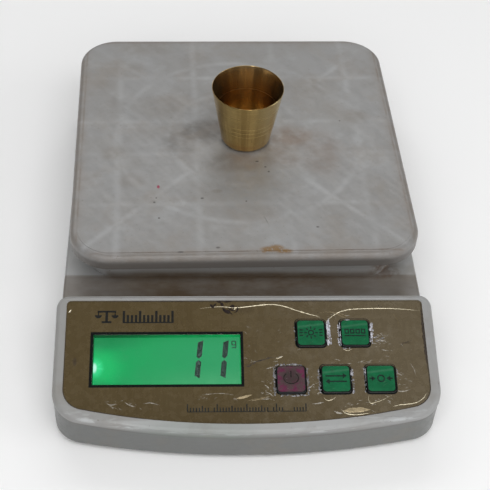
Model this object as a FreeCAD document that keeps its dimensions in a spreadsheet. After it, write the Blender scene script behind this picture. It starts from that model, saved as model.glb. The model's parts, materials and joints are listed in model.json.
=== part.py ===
import FreeCAD, Part
import math
import os

import Sketcher

# Worn electronic compact scale with a small turned brass cup on its platform.
# Frame: millimetres, +Z up, +Y towards the back, the user stands on the -Y side.
# Origin: on the resting surface, under the middle of the whole object.

os.makedirs("parts", exist_ok=True)
doc = FreeCAD.newDocument("CompactScale")
Vector = FreeCAD.Vector

# ---------------------------------------------------------------- driving sizes

DRIVING_SIZES = (
    ("base_width", 164.0, "housing, left to right"),
    ("base_front", -122.3, "y of the middle of the bowed front wall"),
    ("base_back", 122.3, "y of the back wall"),
    ("bow_radius", 361.0, "plan radius of the bowed front wall"),
    ("front_corner", 13.5, "plan radius of the front corners"),
    ("back_corner", 19.0, "plan radius of the back corners"),
    ("wall", 2.2, "shell thickness"),
    ("base_bottom", 2.0, "z of the underside of the housing"),
    ("parting_height", 5.6, "z where the two housings meet"),
    ("deck_height", 20.2, "z of the flat deck"),
    ("plinth_width", 143.0, "raised plinth under the platform"),
    ("plinth_depth", 148.2, "raised plinth under the platform"),
    ("plinth_corner", 14.5, "plan radius of the plinth"),
    ("plinth_height", 33.4, "z of the top of the plinth"),
    ("pan_width", 160.0, "platform, left to right"),
    ("pan_depth", 163.5, "platform, front to back"),
    ("pan_middle", 38.3, "y of the middle of the platform"),
    ("pan_height", 42.0, "z of the weighing surface"),
    ("pan_skirt", 7.2, "height of the platform's edge"),
    ("pan_corner", 19.0, "plan radius of the platform"),
    ("pan_sheet", 2.2, "thickness of the platform's top"),
    ("pan_wall", 2.0, "thickness of the platform's edge"),
    ("pan_twist", 1.1, "degrees the loosely clipped platform sits turned"),
    ("rib_width", 1.6, "platform ribs"),
    ("rib_depth", 2.0, "platform ribs"),
    ("plate_slope", 15.5, "degrees the front film leans towards the user"),
    ("plate_top_y", -62.9, "y of the film's upper edge"),
    ("plate_top_z", 34.24, "z of the film's upper edge"),
    ("console_back", -60.0, "y of the console's rear wall"),
    ("film_width", 155.6, "front film, left to right"),
    ("film_length", 57.2, "front film along the slope, at the middle"),
    ("film_bow", 345.0, "radius of the film's lower edge"),
    ("film_thick", 0.5, "front film"),
    ("rim_proud", 0.4, "the rim stands this much above the film"),
    ("rim_overhang", 0.3, "the rim stands this much outside the wall"),
    ("rim_drop", 2.2, "depth of the rim below the film's surface"),
    ("window_left", -67.0, "display window, x of its left edge"),
    ("window_right", -1.6, "display window, x of its right edge"),
    ("window_upper", 14.8, "display window, distance down the slope"),
    ("window_lower", 40.2, "display window, distance down the slope"),
    ("window_border", 1.2, "printed black border of the window"),
    ("glass_drop", 3.0, "display glass below the film's surface"),
    ("glass_thick", 2.8, "display glass"),
    ("light_thick", 3.0, "backlight panel"),
    ("board_drop", 9.5, "main board below the film's surface"),
    ("board_thick", 1.6, "main board"),
    ("key_size", 12.6, "key caps are square"),
    ("key_gap", 0.3, "gap round each key cap"),
    ("key_pitch", 19.2, "between neighbouring keys"),
    ("key_middle_x", 37.5, "x of the middle of both key rows"),
    ("key_row_upper", 16.0, "upper key row, distance down the slope"),
    ("key_row_lower", 37.4, "lower key row, distance down the slope"),
    ("key_proud", 0.5, "key caps stand above the film"),
    ("cell_length", 80.0, "load cell beam"),
    ("cell_size", 12.7, "load cell beam, square section"),
    ("cell_bottom", 12.0, "z of the underside of the load cell"),
    ("cell_waist", 9.0, "diameter of the two holes that make the beam bend"),
    ("cell_waist_x", 7.0, "x of those holes, both ways from the middle"),
    ("cell_hole", 4.0, "fixing holes through the load cell"),
    ("spacer_length", 25.0, "spacers under and over the load cell's ends"),
    ("base_spacer_thick", 2.5, "spacer under the fixed end"),
    ("live_spacer_thick", 1.5, "spacer over the moving end"),
    ("carrier_thick", 2.8, "platform carrier"),
    ("carrier_reach", 62.0, "length of each of the carrier's arms"),
    ("carrier_half", 13.0, "half the width of an arm"),
    ("peg_distance", 52.0, "pegs from the middle of the platform"),
    ("peg_diameter", 3.9, "carrier's pegs"),
    ("socket_hole", 6.2, "platform's sockets, bore"),
    ("socket_diameter", 9.5, "platform's sockets, outside"),
    ("door_width", 56.0, "battery door, left to right"),
    ("door_front", -27.0, "y of the battery opening's front edge"),
    ("door_depth", 32.0, "battery opening, front to back"),
    ("door_thick", 1.8, "battery door"),
    ("battery_diameter", 14.3, "AA cell"),
    ("battery_length", 49.2, "AA cell without its button"),
    ("foot_diameter", 14.0, "rubber feet"),
    ("foot_height", 2.8, "rubber feet, sunk a little into the housing"),
    ("boss_diameter", 7.0, "screw bosses of the top housing"),
    ("post_diameter", 8.4, "screw posts of the bottom housing"),
    ("post_top", 12.0, "z where bosses and posts meet"),
    ("screw_pilot", 2.9, "pilot holes in the bosses"),
    ("screw_head", 5.6, "housing screws"),
    ("screw_shank", 2.8, "housing screws"),
    ("cup_x", 3.5, "where the cup stands"),
    ("cup_y", 37.6, "where the cup stands"),
    ("cup_height", 31.5, "brass cup"),
    ("cup_rim_diameter", 34.4, "brass cup"),
    ("cup_base_diameter", 22.6, "brass cup"),
    ("cup_wall", 0.5, "brass cup"),
)

sheet = doc.addObject("Spreadsheet::Sheet", "Sizes")
for row, (alias, value, note) in enumerate(DRIVING_SIZES, start=1):
    sheet.set(f"A{row}", alias)
    sheet.set(f"B{row}", str(value))
    sheet.set(f"C{row}", note)
    sheet.setAlias(f"B{row}", alias)
doc.recompute()


class Size:
    """A length that carries its number and the sheet expression it comes from."""

    def __init__(self, value, text):
        self.value = value
        self.text = text

    def __add__(self, other):
        return combine(self, "+", other)

    def __radd__(self, other):
        return combine(other, "+", self)

    def __sub__(self, other):
        return combine(self, "-", other)

    def __rsub__(self, other):
        return combine(other, "-", self)

    def __mul__(self, other):
        return combine(self, "*", other)

    def __rmul__(self, other):
        return combine(other, "*", self)

    def __truediv__(self, other):
        return combine(self, "/", other)

    def __neg__(self):
        return combine(-1.0, "*", self)


def as_size(number):
    """Plain numbers become sizes with a constant expression."""
    return number if isinstance(number, Size) else Size(float(number), repr(float(number)))


def combine(first, sign, second):
    first = as_size(first)
    second = as_size(second)
    if sign == "+":
        value = first.value + second.value
    elif sign == "-":
        value = first.value - second.value
    elif sign == "*":
        value = first.value * second.value
    else:
        value = first.value / second.value
    return Size(value, f"({first.text} {sign} {second.text})")


def root_of(size):
    return Size(math.sqrt(size.value), f"sqrt({size.text})")


def cell(alias):
    return Size(float(sheet.get(alias)), f"Sizes.{alias}")


def bind(target, prop, size):
    target.setExpression(prop, as_size(size).text)


# ---------------------------------------------------------------- sketches and features

def origin_plane(body, role):
    return next(item for item in body.Origin.OriginFeatures if item.Role == role)


def new_sketch(body, role="XY_Plane", offset=0.0):
    """A sketch on one of the body's own planes, moved along the plane's normal."""
    sketch = body.newObject("Sketcher::SketchObject", "Outline")
    sketch.AttachmentSupport = [(origin_plane(body, role), "")]
    sketch.MapMode = "FlatFace"
    bind(sketch, "AttachmentOffset.Base.z", offset)
    return sketch


def constrain(sketch, kind, geometry, size):
    index = sketch.addConstraint(Sketcher.Constraint(kind, *geometry, as_size(size).value))
    sketch.setExpression(f"Constraints[{index}]", as_size(size).text)


def hold_point(sketch, edge, point, across=None, along=None):
    """Dimensions a point from the sketch's origin."""
    if across is not None:
        constrain(sketch, "DistanceX", (-1, 1, edge, point), across)
    if along is not None:
        constrain(sketch, "DistanceY", (-1, 1, edge, point), along)


def draw_polygon(sketch, points):
    """A closed outline of straight lines; every corner is dimensioned."""
    corners = [Vector(as_size(x).value, as_size(y).value, 0) for x, y in points]
    first = sketch.GeometryCount
    count = len(corners)
    for i in range(count):
        sketch.addGeometry(Part.LineSegment(corners[i], corners[(i + 1) % count]), False)
    for i in range(count):
        sketch.addConstraint(Sketcher.Constraint("Coincident", first + i, 2, first + (i + 1) % count, 1))
    for i, (x, y) in enumerate(points):
        hold_point(sketch, first + i, 1, x, y)


def draw_rectangle(sketch, x_low, x_high, y_low, y_high):
    draw_polygon(sketch, ((x_low, y_low), (x_high, y_low), (x_high, y_high), (x_low, y_high)))


def draw_circle(sketch, x, y, diameter):
    radius = as_size(diameter).value / 2
    centre = Vector(as_size(x).value, as_size(y).value, 0)
    edge = sketch.addGeometry(Part.Circle(centre, Vector(0, 0, 1), radius), False)
    hold_point(sketch, edge, 3, x, y)
    constrain(sketch, "Diameter", (edge,), diameter)


def draw_bowed(sketch, half, front, back, bow):
    """A rectangle whose front side is an arc that bulges towards -Y."""
    centre_y = front + bow
    corner_y = centre_y - root_of(bow * bow - half * half)
    right = half.value
    top = back.value
    low = corner_y.value
    sketch.addGeometry(Part.LineSegment(Vector(right, low, 0), Vector(right, top, 0)), False)
    sketch.addGeometry(Part.LineSegment(Vector(right, top, 0), Vector(-right, top, 0)), False)
    sketch.addGeometry(Part.LineSegment(Vector(-right, top, 0), Vector(-right, low, 0)), False)
    circle = Part.Circle(Vector(0, centre_y.value, 0), Vector(0, 0, 1), bow.value)
    start = math.atan2(low - centre_y.value, -right)
    finish = math.atan2(low - centre_y.value, right)
    sketch.addGeometry(Part.ArcOfCircle(circle, start, finish), False)
    for first, second in ((0, 1), (1, 2), (2, 3), (3, 0)):
        sketch.addConstraint(Sketcher.Constraint("Coincident", first, 2, second, 1))
    hold_point(sketch, 0, 1, half)
    hold_point(sketch, 0, 2, half, back)
    hold_point(sketch, 2, 1, -half, back)
    hold_point(sketch, 2, 2, -half)
    hold_point(sketch, 3, 3, 0.0, centre_y)
    constrain(sketch, "Radius", (3,), bow)


def pad(body, sketch, length):
    feature = body.newObject("PartDesign::Pad", "Pad")
    feature.Profile = sketch
    bind(feature, "Length", length)
    doc.recompute()
    return feature


def pad_across(body, sketch, width):
    """Pads a side view both ways from the middle plane."""
    feature = body.newObject("PartDesign::Pad", "Pad")
    feature.Profile = sketch
    feature.SideType = "Symmetric"
    bind(feature, "Length", width)
    doc.recompute()
    return feature


def pocket_through(body, sketch):
    """Cuts a sketch right through the body, both ways."""
    before = body.Shape.Volume
    feature = body.newObject("PartDesign::Pocket", "Pocket")
    feature.Profile = sketch
    feature.SideType = "Symmetric"
    feature.Type = "ThroughAll"
    doc.recompute()
    if body.Shape.Volume > before - 1e-3:
        raise RuntimeError(f"a pocket in {body.Label} cut nothing")
    return feature


def pocket_down(body, sketch, depth):
    """Cuts from the sketch's plane into the material below it."""
    before = body.Shape.Volume
    feature = body.newObject("PartDesign::Pocket", "Pocket")
    feature.Profile = sketch
    bind(feature, "Length", depth)
    doc.recompute()
    if body.Shape.Volume > before - 1e-3:
        raise RuntimeError(f"a pocket in {body.Label} cut nothing")
    return feature


def find_edges(shape, wanted):
    return [f"Edge{i}" for i, edge in enumerate(shape.Edges, start=1) if wanted(edge)]


def last_feature(body):
    return [item for item in body.Group if item.isDerivedFrom("PartDesign::Feature")][-1]


def round_edges(body, wanted, radius):
    base = last_feature(body)
    names = find_edges(base.Shape, wanted)
    if not names:
        raise RuntimeError(f"no edges to round in {body.Label}")
    feature = body.newObject("PartDesign::Fillet", "Fillet")
    feature.Base = (base, names)
    bind(feature, "Radius", radius)
    doc.recompute()
    return feature


def is_upright(edge):
    return edge.Curve.TypeId == "Part::GeomLine" and abs(edge.tangentAt(edge.FirstParameter).z) > 0.999


def upright_behind(y):
    """Upright edges further back than y."""
    return lambda edge: is_upright(edge) and edge.CenterOfMass.y > y


def upright_before(y):
    return lambda edge: is_upright(edge) and edge.CenterOfMass.y < y


def at_level(z):
    """Edges that lie wholly at one height."""
    return lambda edge: all(abs(point.z - z) < 1e-4 for point in edge.discretize(5))


# ---------------------------------------------------------------- building blocks

nodes = {}


def keep(label, item):
    """Gives a finished sub-part the name of its file."""
    item.Label = label
    nodes[label] = item
    return item


def new_body(label):
    return doc.addObject("PartDesign::Body", label)


def lay_on_console(item):
    """Moves a piece drawn flat onto the sloping front.

    Local -Y then runs down the slope and local +Z is the slope's normal.
    """
    turn = FreeCAD.Rotation(Vector(1, 0, 0), cell("plate_slope").value)
    item.Placement = FreeCAD.Placement(Vector(0, cell("plate_top_y").value, cell("plate_top_z").value), turn)
    bind(item, "Placement.Base.y", cell("plate_top_y"))
    bind(item, "Placement.Base.z", cell("plate_top_z"))
    bind(item, "Placement.Rotation.Angle", cell("plate_slope"))
    doc.recompute()
    return item


def block(label, across, along, height, corner=None):
    """A box between pairs of sizes, with rounded upright edges if asked."""
    body = new_body(label)
    sketch = new_sketch(body, offset=height[0])
    draw_rectangle(sketch, across[0], across[1], along[0], along[1])
    pad(body, sketch, as_size(height[1]) - height[0])
    if corner is not None:
        round_edges(body, is_upright, corner)
    return body


def cylinder(label, x, y, diameter, height):
    body = new_body(label)
    sketch = new_sketch(body, offset=height[0])
    draw_circle(sketch, x, y, diameter)
    pad(body, sketch, as_size(height[1]) - height[0])
    return body


def bowed_prism(label, inset, height, back, back_radius):
    """The housing's plan outline, moved in by inset, between two heights."""
    body = new_body(label)
    sketch = new_sketch(body, offset=height[0])
    half = BASE_WIDTH / 2 - inset
    front = cell("base_front") + inset
    draw_bowed(sketch, half, front, back, cell("bow_radius") - inset)
    pad(body, sketch, as_size(height[1]) - height[0])
    middle = (front.value + back.value) / 2
    round_edges(body, upright_before(middle), cell("front_corner") - inset)
    round_edges(body, upright_behind(middle), back_radius)
    return body


def fuse(label, parts):
    item = doc.addObject("Part::MultiFuse", label)
    item.Shapes = parts
    item.Refine = True
    doc.recompute()
    return item


def fuse_in_turn(label, parts):
    """Joins large shells one after another, which keeps shared faces clean."""
    item = parts[0]
    for number, part in enumerate(parts[1:], start=1):
        item = fuse(f"{label}_{number}", [item, part])
    return item


def cut(label, base, tools):
    """Takes one or more tools away from a base."""
    tool = tools[0] if len(tools) == 1 else fuse(label + "_tools", tools)
    item = doc.addObject("Part::Cut", label)
    item.Base = base
    item.Tool = tool
    item.Refine = True
    doc.recompute()
    return item


def group(label, parts):
    """Identical loose pieces that share one node."""
    item = doc.addObject("Part::Compound", label)
    item.Links = parts
    doc.recompute()
    return item


def screw(label, x, y, head, shank, head_low, head_high, tip):
    """A cross-head screw; its head lies between two heights and its shank ends at tip."""
    body = new_body(label)
    head_sketch = new_sketch(body, offset=head_low)
    draw_circle(head_sketch, x, y, head)
    pad(body, head_sketch, as_size(head_high) - head_low)
    points_up = as_size(tip).value > as_size(head_high).value
    shank_low = head_high if points_up else tip
    shank_high = tip if points_up else head_low
    shank_sketch = new_sketch(body, offset=shank_low)
    draw_circle(shank_sketch, x, y, shank)
    pad(body, shank_sketch, as_size(shank_high) - shank_low)
    recess = 1.0
    arm = as_size(head) * 0.3
    slot = as_size(head) * 0.08
    outline = ((slot, slot), (slot, arm), (-slot, arm), (-slot, slot), (-arm, slot), (-arm, -slot),
               (-slot, -slot), (-slot, -arm), (slot, -arm), (slot, -slot), (arm, -slot), (arm, slot))
    top = as_size(head_low) + recess if points_up else as_size(head_high) + recess / 2
    cross = new_sketch(body, offset=top)
    draw_polygon(cross, [(as_size(x) + across, as_size(y) + along) for across, along in outline])
    pocket_down(body, cross, 2 * recess if points_up else 1.5 * recess)
    return body


def rounded_path(points):
    """Straight runs joined by tangent arcs, each as large as its two runs allow."""
    edges = []
    start = points[0]
    for before, corner, after in zip(points, points[1:], points[2:]):
        arrive = (corner - before).normalize()
        leave = (after - corner).normalize()
        half_turn = arrive.getAngle(leave) / 2
        shorter = min((corner - before).Length, (after - corner).Length)
        reach = 0.45 * shorter
        radius = reach / math.tan(half_turn)
        entry = corner - arrive * reach
        leaving = corner + leave * reach
        inward = (leave - arrive).normalize()
        middle = corner + inward * (radius / math.cos(half_turn) - radius)
        edges.append(Part.LineSegment(start, entry).toShape())
        edges.append(Part.Arc(entry, middle, leaving).toShape())
        start = leaving
    edges.append(Part.LineSegment(start, points[-1]).toShape())
    return Part.Wire(edges)


def lead(label, points, diameter):
    """An insulated wire held between its two ends."""
    path = rounded_path([Vector(*point) for point in points])
    direction = Vector(*points[1]) - Vector(*points[0])
    circle = Part.Wire([Part.Circle(Vector(*points[0]), direction, diameter / 2).toShape()])
    item = doc.addObject("Part::Feature", label)
    item.Shape = path.makePipeShell([circle], True, False)
    return item


# ---------------------------------------------------------------- derived sizes

BASE_WIDTH = cell("base_width")
WALL = cell("wall")
SLOPE_TAN = Size(math.tan(math.radians(cell("plate_slope").value)), "tan(Sizes.plate_slope * 1 deg)")
SLOPE_COS = Size(math.cos(math.radians(cell("plate_slope").value)), "cos(Sizes.plate_slope * 1 deg)")
PLATE_Y = cell("plate_top_y")
PLATE_Z = cell("plate_top_z")
CONSOLE_BACK = cell("console_back")
PAN_MIDDLE = cell("pan_middle")
PAN_BOTTOM = cell("pan_height") - cell("pan_skirt")
PAN_CEILING = cell("pan_height") - cell("pan_sheet")
RIB_BOTTOM = PAN_CEILING - cell("rib_depth")
CARRIER_BOTTOM = RIB_BOTTOM - cell("carrier_thick")
CELL_TOP = cell("cell_bottom") + cell("cell_size")
BOARD_TOP = -cell("board_drop")
BOARD_BOTTOM = BOARD_TOP - cell("board_thick")
CONSOLE_CEILING = -cell("film_thick") - 2.0
DECK_CEILING = cell("deck_height") - WALL
FILM_BED = -cell("film_thick")
CONSOLE_REAR_RADIUS = as_size(5.0)
RIM_RADIUS = 2.2
CONSOLE_TALL = 45.0
FAR_ABOVE = 60.0
FAR_BELOW = 0.0
PAST = 1.0
SLAB_START = cell("parting_height") - PAST

KEY_PLACES = (
    ("key_light", cell("key_middle_x") - cell("key_pitch") / 2, cell("key_row_upper")),
    ("key_count", cell("key_middle_x") + cell("key_pitch") / 2, cell("key_row_upper")),
    ("key_power", cell("key_middle_x") - cell("key_pitch"), cell("key_row_lower")),
    ("key_mode", cell("key_middle_x"), cell("key_row_lower")),
    ("key_tare", cell("key_middle_x") + cell("key_pitch"), cell("key_row_lower")),
)
BOARD_SCREW_PLACES = ((-73.0, -8.0), (-73.0, -42.0), (70.0, -8.0), (70.0, -42.0), (6.0, -27.0))
HOUSING_SCREW_PLACES = ((69.5, -108.3, 19.6), (74.5, -48.0, 18.6), (70.0, 106.0, 18.6))
FOOT_PLACES = (("foot_front_left", -66.0, -92.0), ("foot_front_right", 66.0, -92.0),
               ("foot_back_left", -62.0, 84.0), ("foot_back_right", 62.0, 84.0))
CELL_HOLES = (20.0, 35.0)
PEG_PLACES = ((1, 0), (-1, 0), (0, 1), (0, -1))
RIB_PLACES_X = (-58.8, -21.0, 21.0, 58.8)
RIB_PLACES_Y = (-47.4, -12.1, 12.1, 47.4)
RIB_RINGS = (60.0, 34.6)


def mirrored(places):
    """Each place on the right has its twin on the left."""
    return [(sign * x, y, top) for x, y, top in places for sign in (1, -1)]


def peg_place(direction):
    """Where a peg and its socket are, in x and y."""
    distance = cell("peg_distance")
    return distance * direction[0], PAN_MIDDLE + distance * direction[1]


def slope_height(y, normal_offset):
    """Height of the plane that runs parallel to the front film at a normal offset."""
    return PLATE_Z + normal_offset / SLOPE_COS + (y - PLATE_Y) * SLOPE_TAN


def cut_along_slope(body, normal_offset, limit):
    """Removes what lies between the sloping plane and a level limit above or below it."""
    front = cell("base_front") - 10.0
    back = CONSOLE_BACK + 10.0
    sketch = new_sketch(body, role="YZ_Plane")
    low_end = (front, slope_height(front, normal_offset))
    high_end = (back, slope_height(back, normal_offset))
    draw_polygon(sketch, (low_end, high_end, (back, limit), (front, limit)))
    pocket_through(body, sketch)


# ---------------------------------------------------------------- top housing

def console_rim():
    """The raised, rounded edge that frames the front film."""
    overhang = cell("rim_overhang")
    proud = cell("rim_proud")
    body = bowed_prism("console_rim", -overhang, (12.0, CONSOLE_TALL), CONSOLE_BACK,
                       CONSOLE_REAR_RADIUS)
    cut_along_slope(body, proud, FAR_ABOVE)
    cut_along_slope(body, -cell("rim_drop"), FAR_BELOW)

    def on_top(edge):
        return all(abs(point.z - slope_height(point.y, proud).value) < 1e-3 for point in edge.discretize(5))

    round_edges(body, on_top, RIM_RADIUS)
    return body


def top_housing():
    slab = bowed_prism("deck_slab", as_size(0.0), (cell("parting_height"), cell("deck_height")),
                       cell("base_back"), cell("back_corner"))
    round_edges(slab, at_level(cell("deck_height").value), 1.5)
    walls = bowed_prism("console_walls", as_size(0.0), (cell("parting_height"), CONSOLE_TALL), CONSOLE_BACK,
                        CONSOLE_REAR_RADIUS)
    cut_along_slope(walls, as_size(-1.0), FAR_ABOVE)
    half_width = cell("plinth_width") / 2
    half_depth = cell("plinth_depth") / 2
    plinth = block("plinth", (-half_width, half_width), (PAN_MIDDLE - half_depth, PAN_MIDDLE + half_depth),
                   (DECK_CEILING + 0.5, cell("plinth_height")), cell("plinth_corner"))
    round_edges(plinth, at_level(cell("plinth_height").value), 1.5)
    outside = fuse_in_turn("top_outside", [slab, walls, console_rim(), plinth])

    slab_room = bowed_prism("slab_room", WALL, (SLAB_START, DECK_CEILING), cell("base_back") - WALL,
                            cell("back_corner") - WALL)
    console_room = bowed_prism("console_room", WALL, (SLAB_START, CONSOLE_TALL), CONSOLE_BACK - WALL,
                               CONSOLE_REAR_RADIUS - WALL)
    cut_along_slope(console_room, CONSOLE_CEILING, FAR_ABOVE)
    plinth_room = block("plinth_room", (-half_width + WALL, half_width - WALL),
                        (PAN_MIDDLE - half_depth + WALL, PAN_MIDDLE + half_depth - WALL),
                        (SLAB_START, cell("plinth_height") - WALL), cell("plinth_corner") - WALL)
    shell = cut("top_shell", outside, [slab_room, console_room, plinth_room])

    bosses = [cylinder("boss", x, y, cell("boss_diameter"), (cell("post_top"), top))
              for x, y, top in mirrored(HOUSING_SCREW_PLACES)]
    board_boss = 5.4
    bosses += [lay_on_console(cylinder("board_boss", x, y, board_boss, (BOARD_TOP, CONSOLE_CEILING + 0.3)))
               for x, y in BOARD_SCREW_PLACES]
    filled = fuse("top_with_bosses", [shell] + bosses)

    border = cell("window_border")
    through = (CONSOLE_CEILING - 3.5, PAST)
    film_bed = lay_on_console(film_outline("film_bed", (FILM_BED, 6.0)))
    display_hole = lay_on_console(block(
        "display_hole", (cell("window_left") + border, cell("window_right") - border),
        (-cell("window_lower") + border, -cell("window_upper") - border), through))
    tools = [film_bed, display_hole]
    tools += [lay_on_console(key_hole(x, down, through)) for _, x, down in KEY_PLACES]
    board_pilot = 2.2
    board_pilot_height = (BOARD_TOP - PAST, CONSOLE_CEILING - 1.0)
    tools += [lay_on_console(cylinder("board_pilot", x, y, board_pilot, board_pilot_height))
              for x, y in BOARD_SCREW_PLACES]
    pilot_height = (cell("post_top") - PAST, 16.8)
    tools += [cylinder("pilot", x, y, cell("screw_pilot"), pilot_height)
              for x, y, _ in mirrored(HOUSING_SCREW_PLACES)]
    carrier_room = 9.5
    tools.append(block("carrier_hole", (13.0, 43.0), (PAN_MIDDLE - carrier_room, PAN_MIDDLE + carrier_room),
                       (25.0, cell("plinth_height") + PAST)))
    keep("top_housing", cut("top_housing", filled, tools))


def film_outline(label, height):
    """The front film's outline, drawn flat: its upper edge is at local y 0."""
    body = new_body(label)
    sketch = new_sketch(body, offset=height[0])
    draw_bowed(sketch, cell("film_width") / 2, -cell("film_length"), as_size(0.0), cell("film_bow"))
    pad(body, sketch, as_size(height[1]) - height[0])
    middle = -cell("film_length").value / 2
    round_edges(body, upright_before(middle), 9.5)
    round_edges(body, upright_behind(middle), 2.0)
    return body


def key_hole(x, down, height):
    half = cell("key_size") / 2 + cell("key_gap")
    return block("key_hole", (x - half, x + half), (-down - half, -down + half), height, 1.9)


def front_film():
    film = film_outline("film", (FILM_BED, 0.0))
    through = (FILM_BED - PAST, PAST)
    tools = [block("window_hole", (cell("window_left"), cell("window_right")),
                   (-cell("window_lower"), -cell("window_upper")), through)]
    tools += [key_hole(x, down, through) for _, x, down in KEY_PLACES]
    keep("front_film", lay_on_console(cut("front_film", film, tools)))
    window = block("window", (cell("window_left"), cell("window_right")),
                   (-cell("window_lower"), -cell("window_upper")), (FILM_BED, 0.0))
    keep("display_window", lay_on_console(window))


# ---------------------------------------------------------------- display and electronics

def display_stack():
    hidden = 1.2
    left = cell("window_left") - hidden
    right = cell("window_right") + hidden
    low = -cell("window_lower") - hidden
    high = -cell("window_upper") + hidden
    glass_top = -cell("glass_drop")
    glass_bottom = glass_top - cell("glass_thick")
    light_bottom = glass_bottom - cell("light_thick")
    led_width = 1.6
    strip = 2.0

    keep("lcd_glass", lay_on_console(block("glass", (left, right), (low, high), (glass_bottom, glass_top))))
    panel = block("panel", (left + led_width, right), (low + strip, high), (light_bottom, glass_bottom))
    keep("backlight_panel", lay_on_console(panel))
    led = block("led", (left, left + led_width), (-34.0, -29.5), (light_bottom, glass_bottom))
    keep("backlight_led", lay_on_console(led))
    connector = block("strip", (left + 6.0, right - 6.0), (low, low + strip), (BOARD_TOP, glass_bottom))
    keep("lcd_connector_strip", lay_on_console(connector))
    holder_wall = 1.5
    outer = block("holder", (left - holder_wall, right + holder_wall),
                  (low - holder_wall, high + holder_wall), (BOARD_TOP, CONSOLE_CEILING), 1.2)
    room = block("holder_room", (left, right), (low, high), (BOARD_TOP - PAST, 0.0))
    keep("display_holder", lay_on_console(cut("display_holder", outer, [room])))


def main_board():
    board = block("board", (-77.0, 74.0), (-45.5, -4.5), (BOARD_BOTTOM, BOARD_TOP), 2.0)
    clearance_hole = 3.0
    holes = [cylinder("board_hole", x, y, clearance_hole, (BOARD_BOTTOM - PAST, BOARD_TOP + PAST))
             for x, y in BOARD_SCREW_PLACES]
    keep("main_board", lay_on_console(cut("main_board", board, holes)))
    blob_height = 1.8
    chip = cylinder("chip", 30.0, -26.0, 14.0, (BOARD_BOTTOM - blob_height, BOARD_BOTTOM))
    round_edges(chip, at_level(BOARD_BOTTOM.value - blob_height), 1.2)
    keep("chip_cover", lay_on_console(chip))
    head = 4.6
    shank = 2.2
    head_low = BOARD_BOTTOM - 1.8
    tip = CONSOLE_CEILING - 1.5
    screws = [lay_on_console(screw("board_screw", x, y, head, shank, head_low, BOARD_BOTTOM, tip))
              for x, y in BOARD_SCREW_PLACES]
    keep("board_screws", group("board_screws", screws))


def keys():
    switch_top = BOARD_TOP + 3.5
    flange_top = CONSOLE_CEILING - 0.1
    flange_bottom = flange_top - 1.0
    case_half = 3.0
    button_depth = 2.0
    switches = []
    for label, x, down in KEY_PLACES:
        half = cell("key_size") / 2
        cap = block(label + "_cap", (x - half, x + half), (-down - half, -down + half),
                    (flange_bottom, cell("key_proud")), 1.6)
        round_edges(cap, at_level(cell("key_proud").value), 0.45)
        reach = half + 1.0
        flange = block(label + "_flange", (x - reach, x + reach), (-down - reach, -down + reach),
                       (flange_bottom, flange_top), 1.6)
        keep(label, lay_on_console(fuse(label, [cap, flange])))
        head = cylinder(label + "_head", x, -down, 5.0, (flange_bottom - 0.8, flange_bottom))
        stem = cylinder(label + "_pin", x, -down, 3.4, (switch_top - 1.0, flange_bottom))
        keep(label + "_plunger", lay_on_console(fuse(label + "_plunger", [head, stem])))
        case = block("switch_case", (x - case_half, x + case_half), (-down - case_half, -down + case_half),
                     (BOARD_TOP, switch_top))
        bore = cylinder("switch_bore", x, -down, 4.0, (switch_top - button_depth, switch_top + PAST))
        switches.append(lay_on_console(cut("tact_switch", case, [bore])))
    keep("tact_switches", group("tact_switches", switches))


# ---------------------------------------------------------------- bottom housing and its contents

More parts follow.
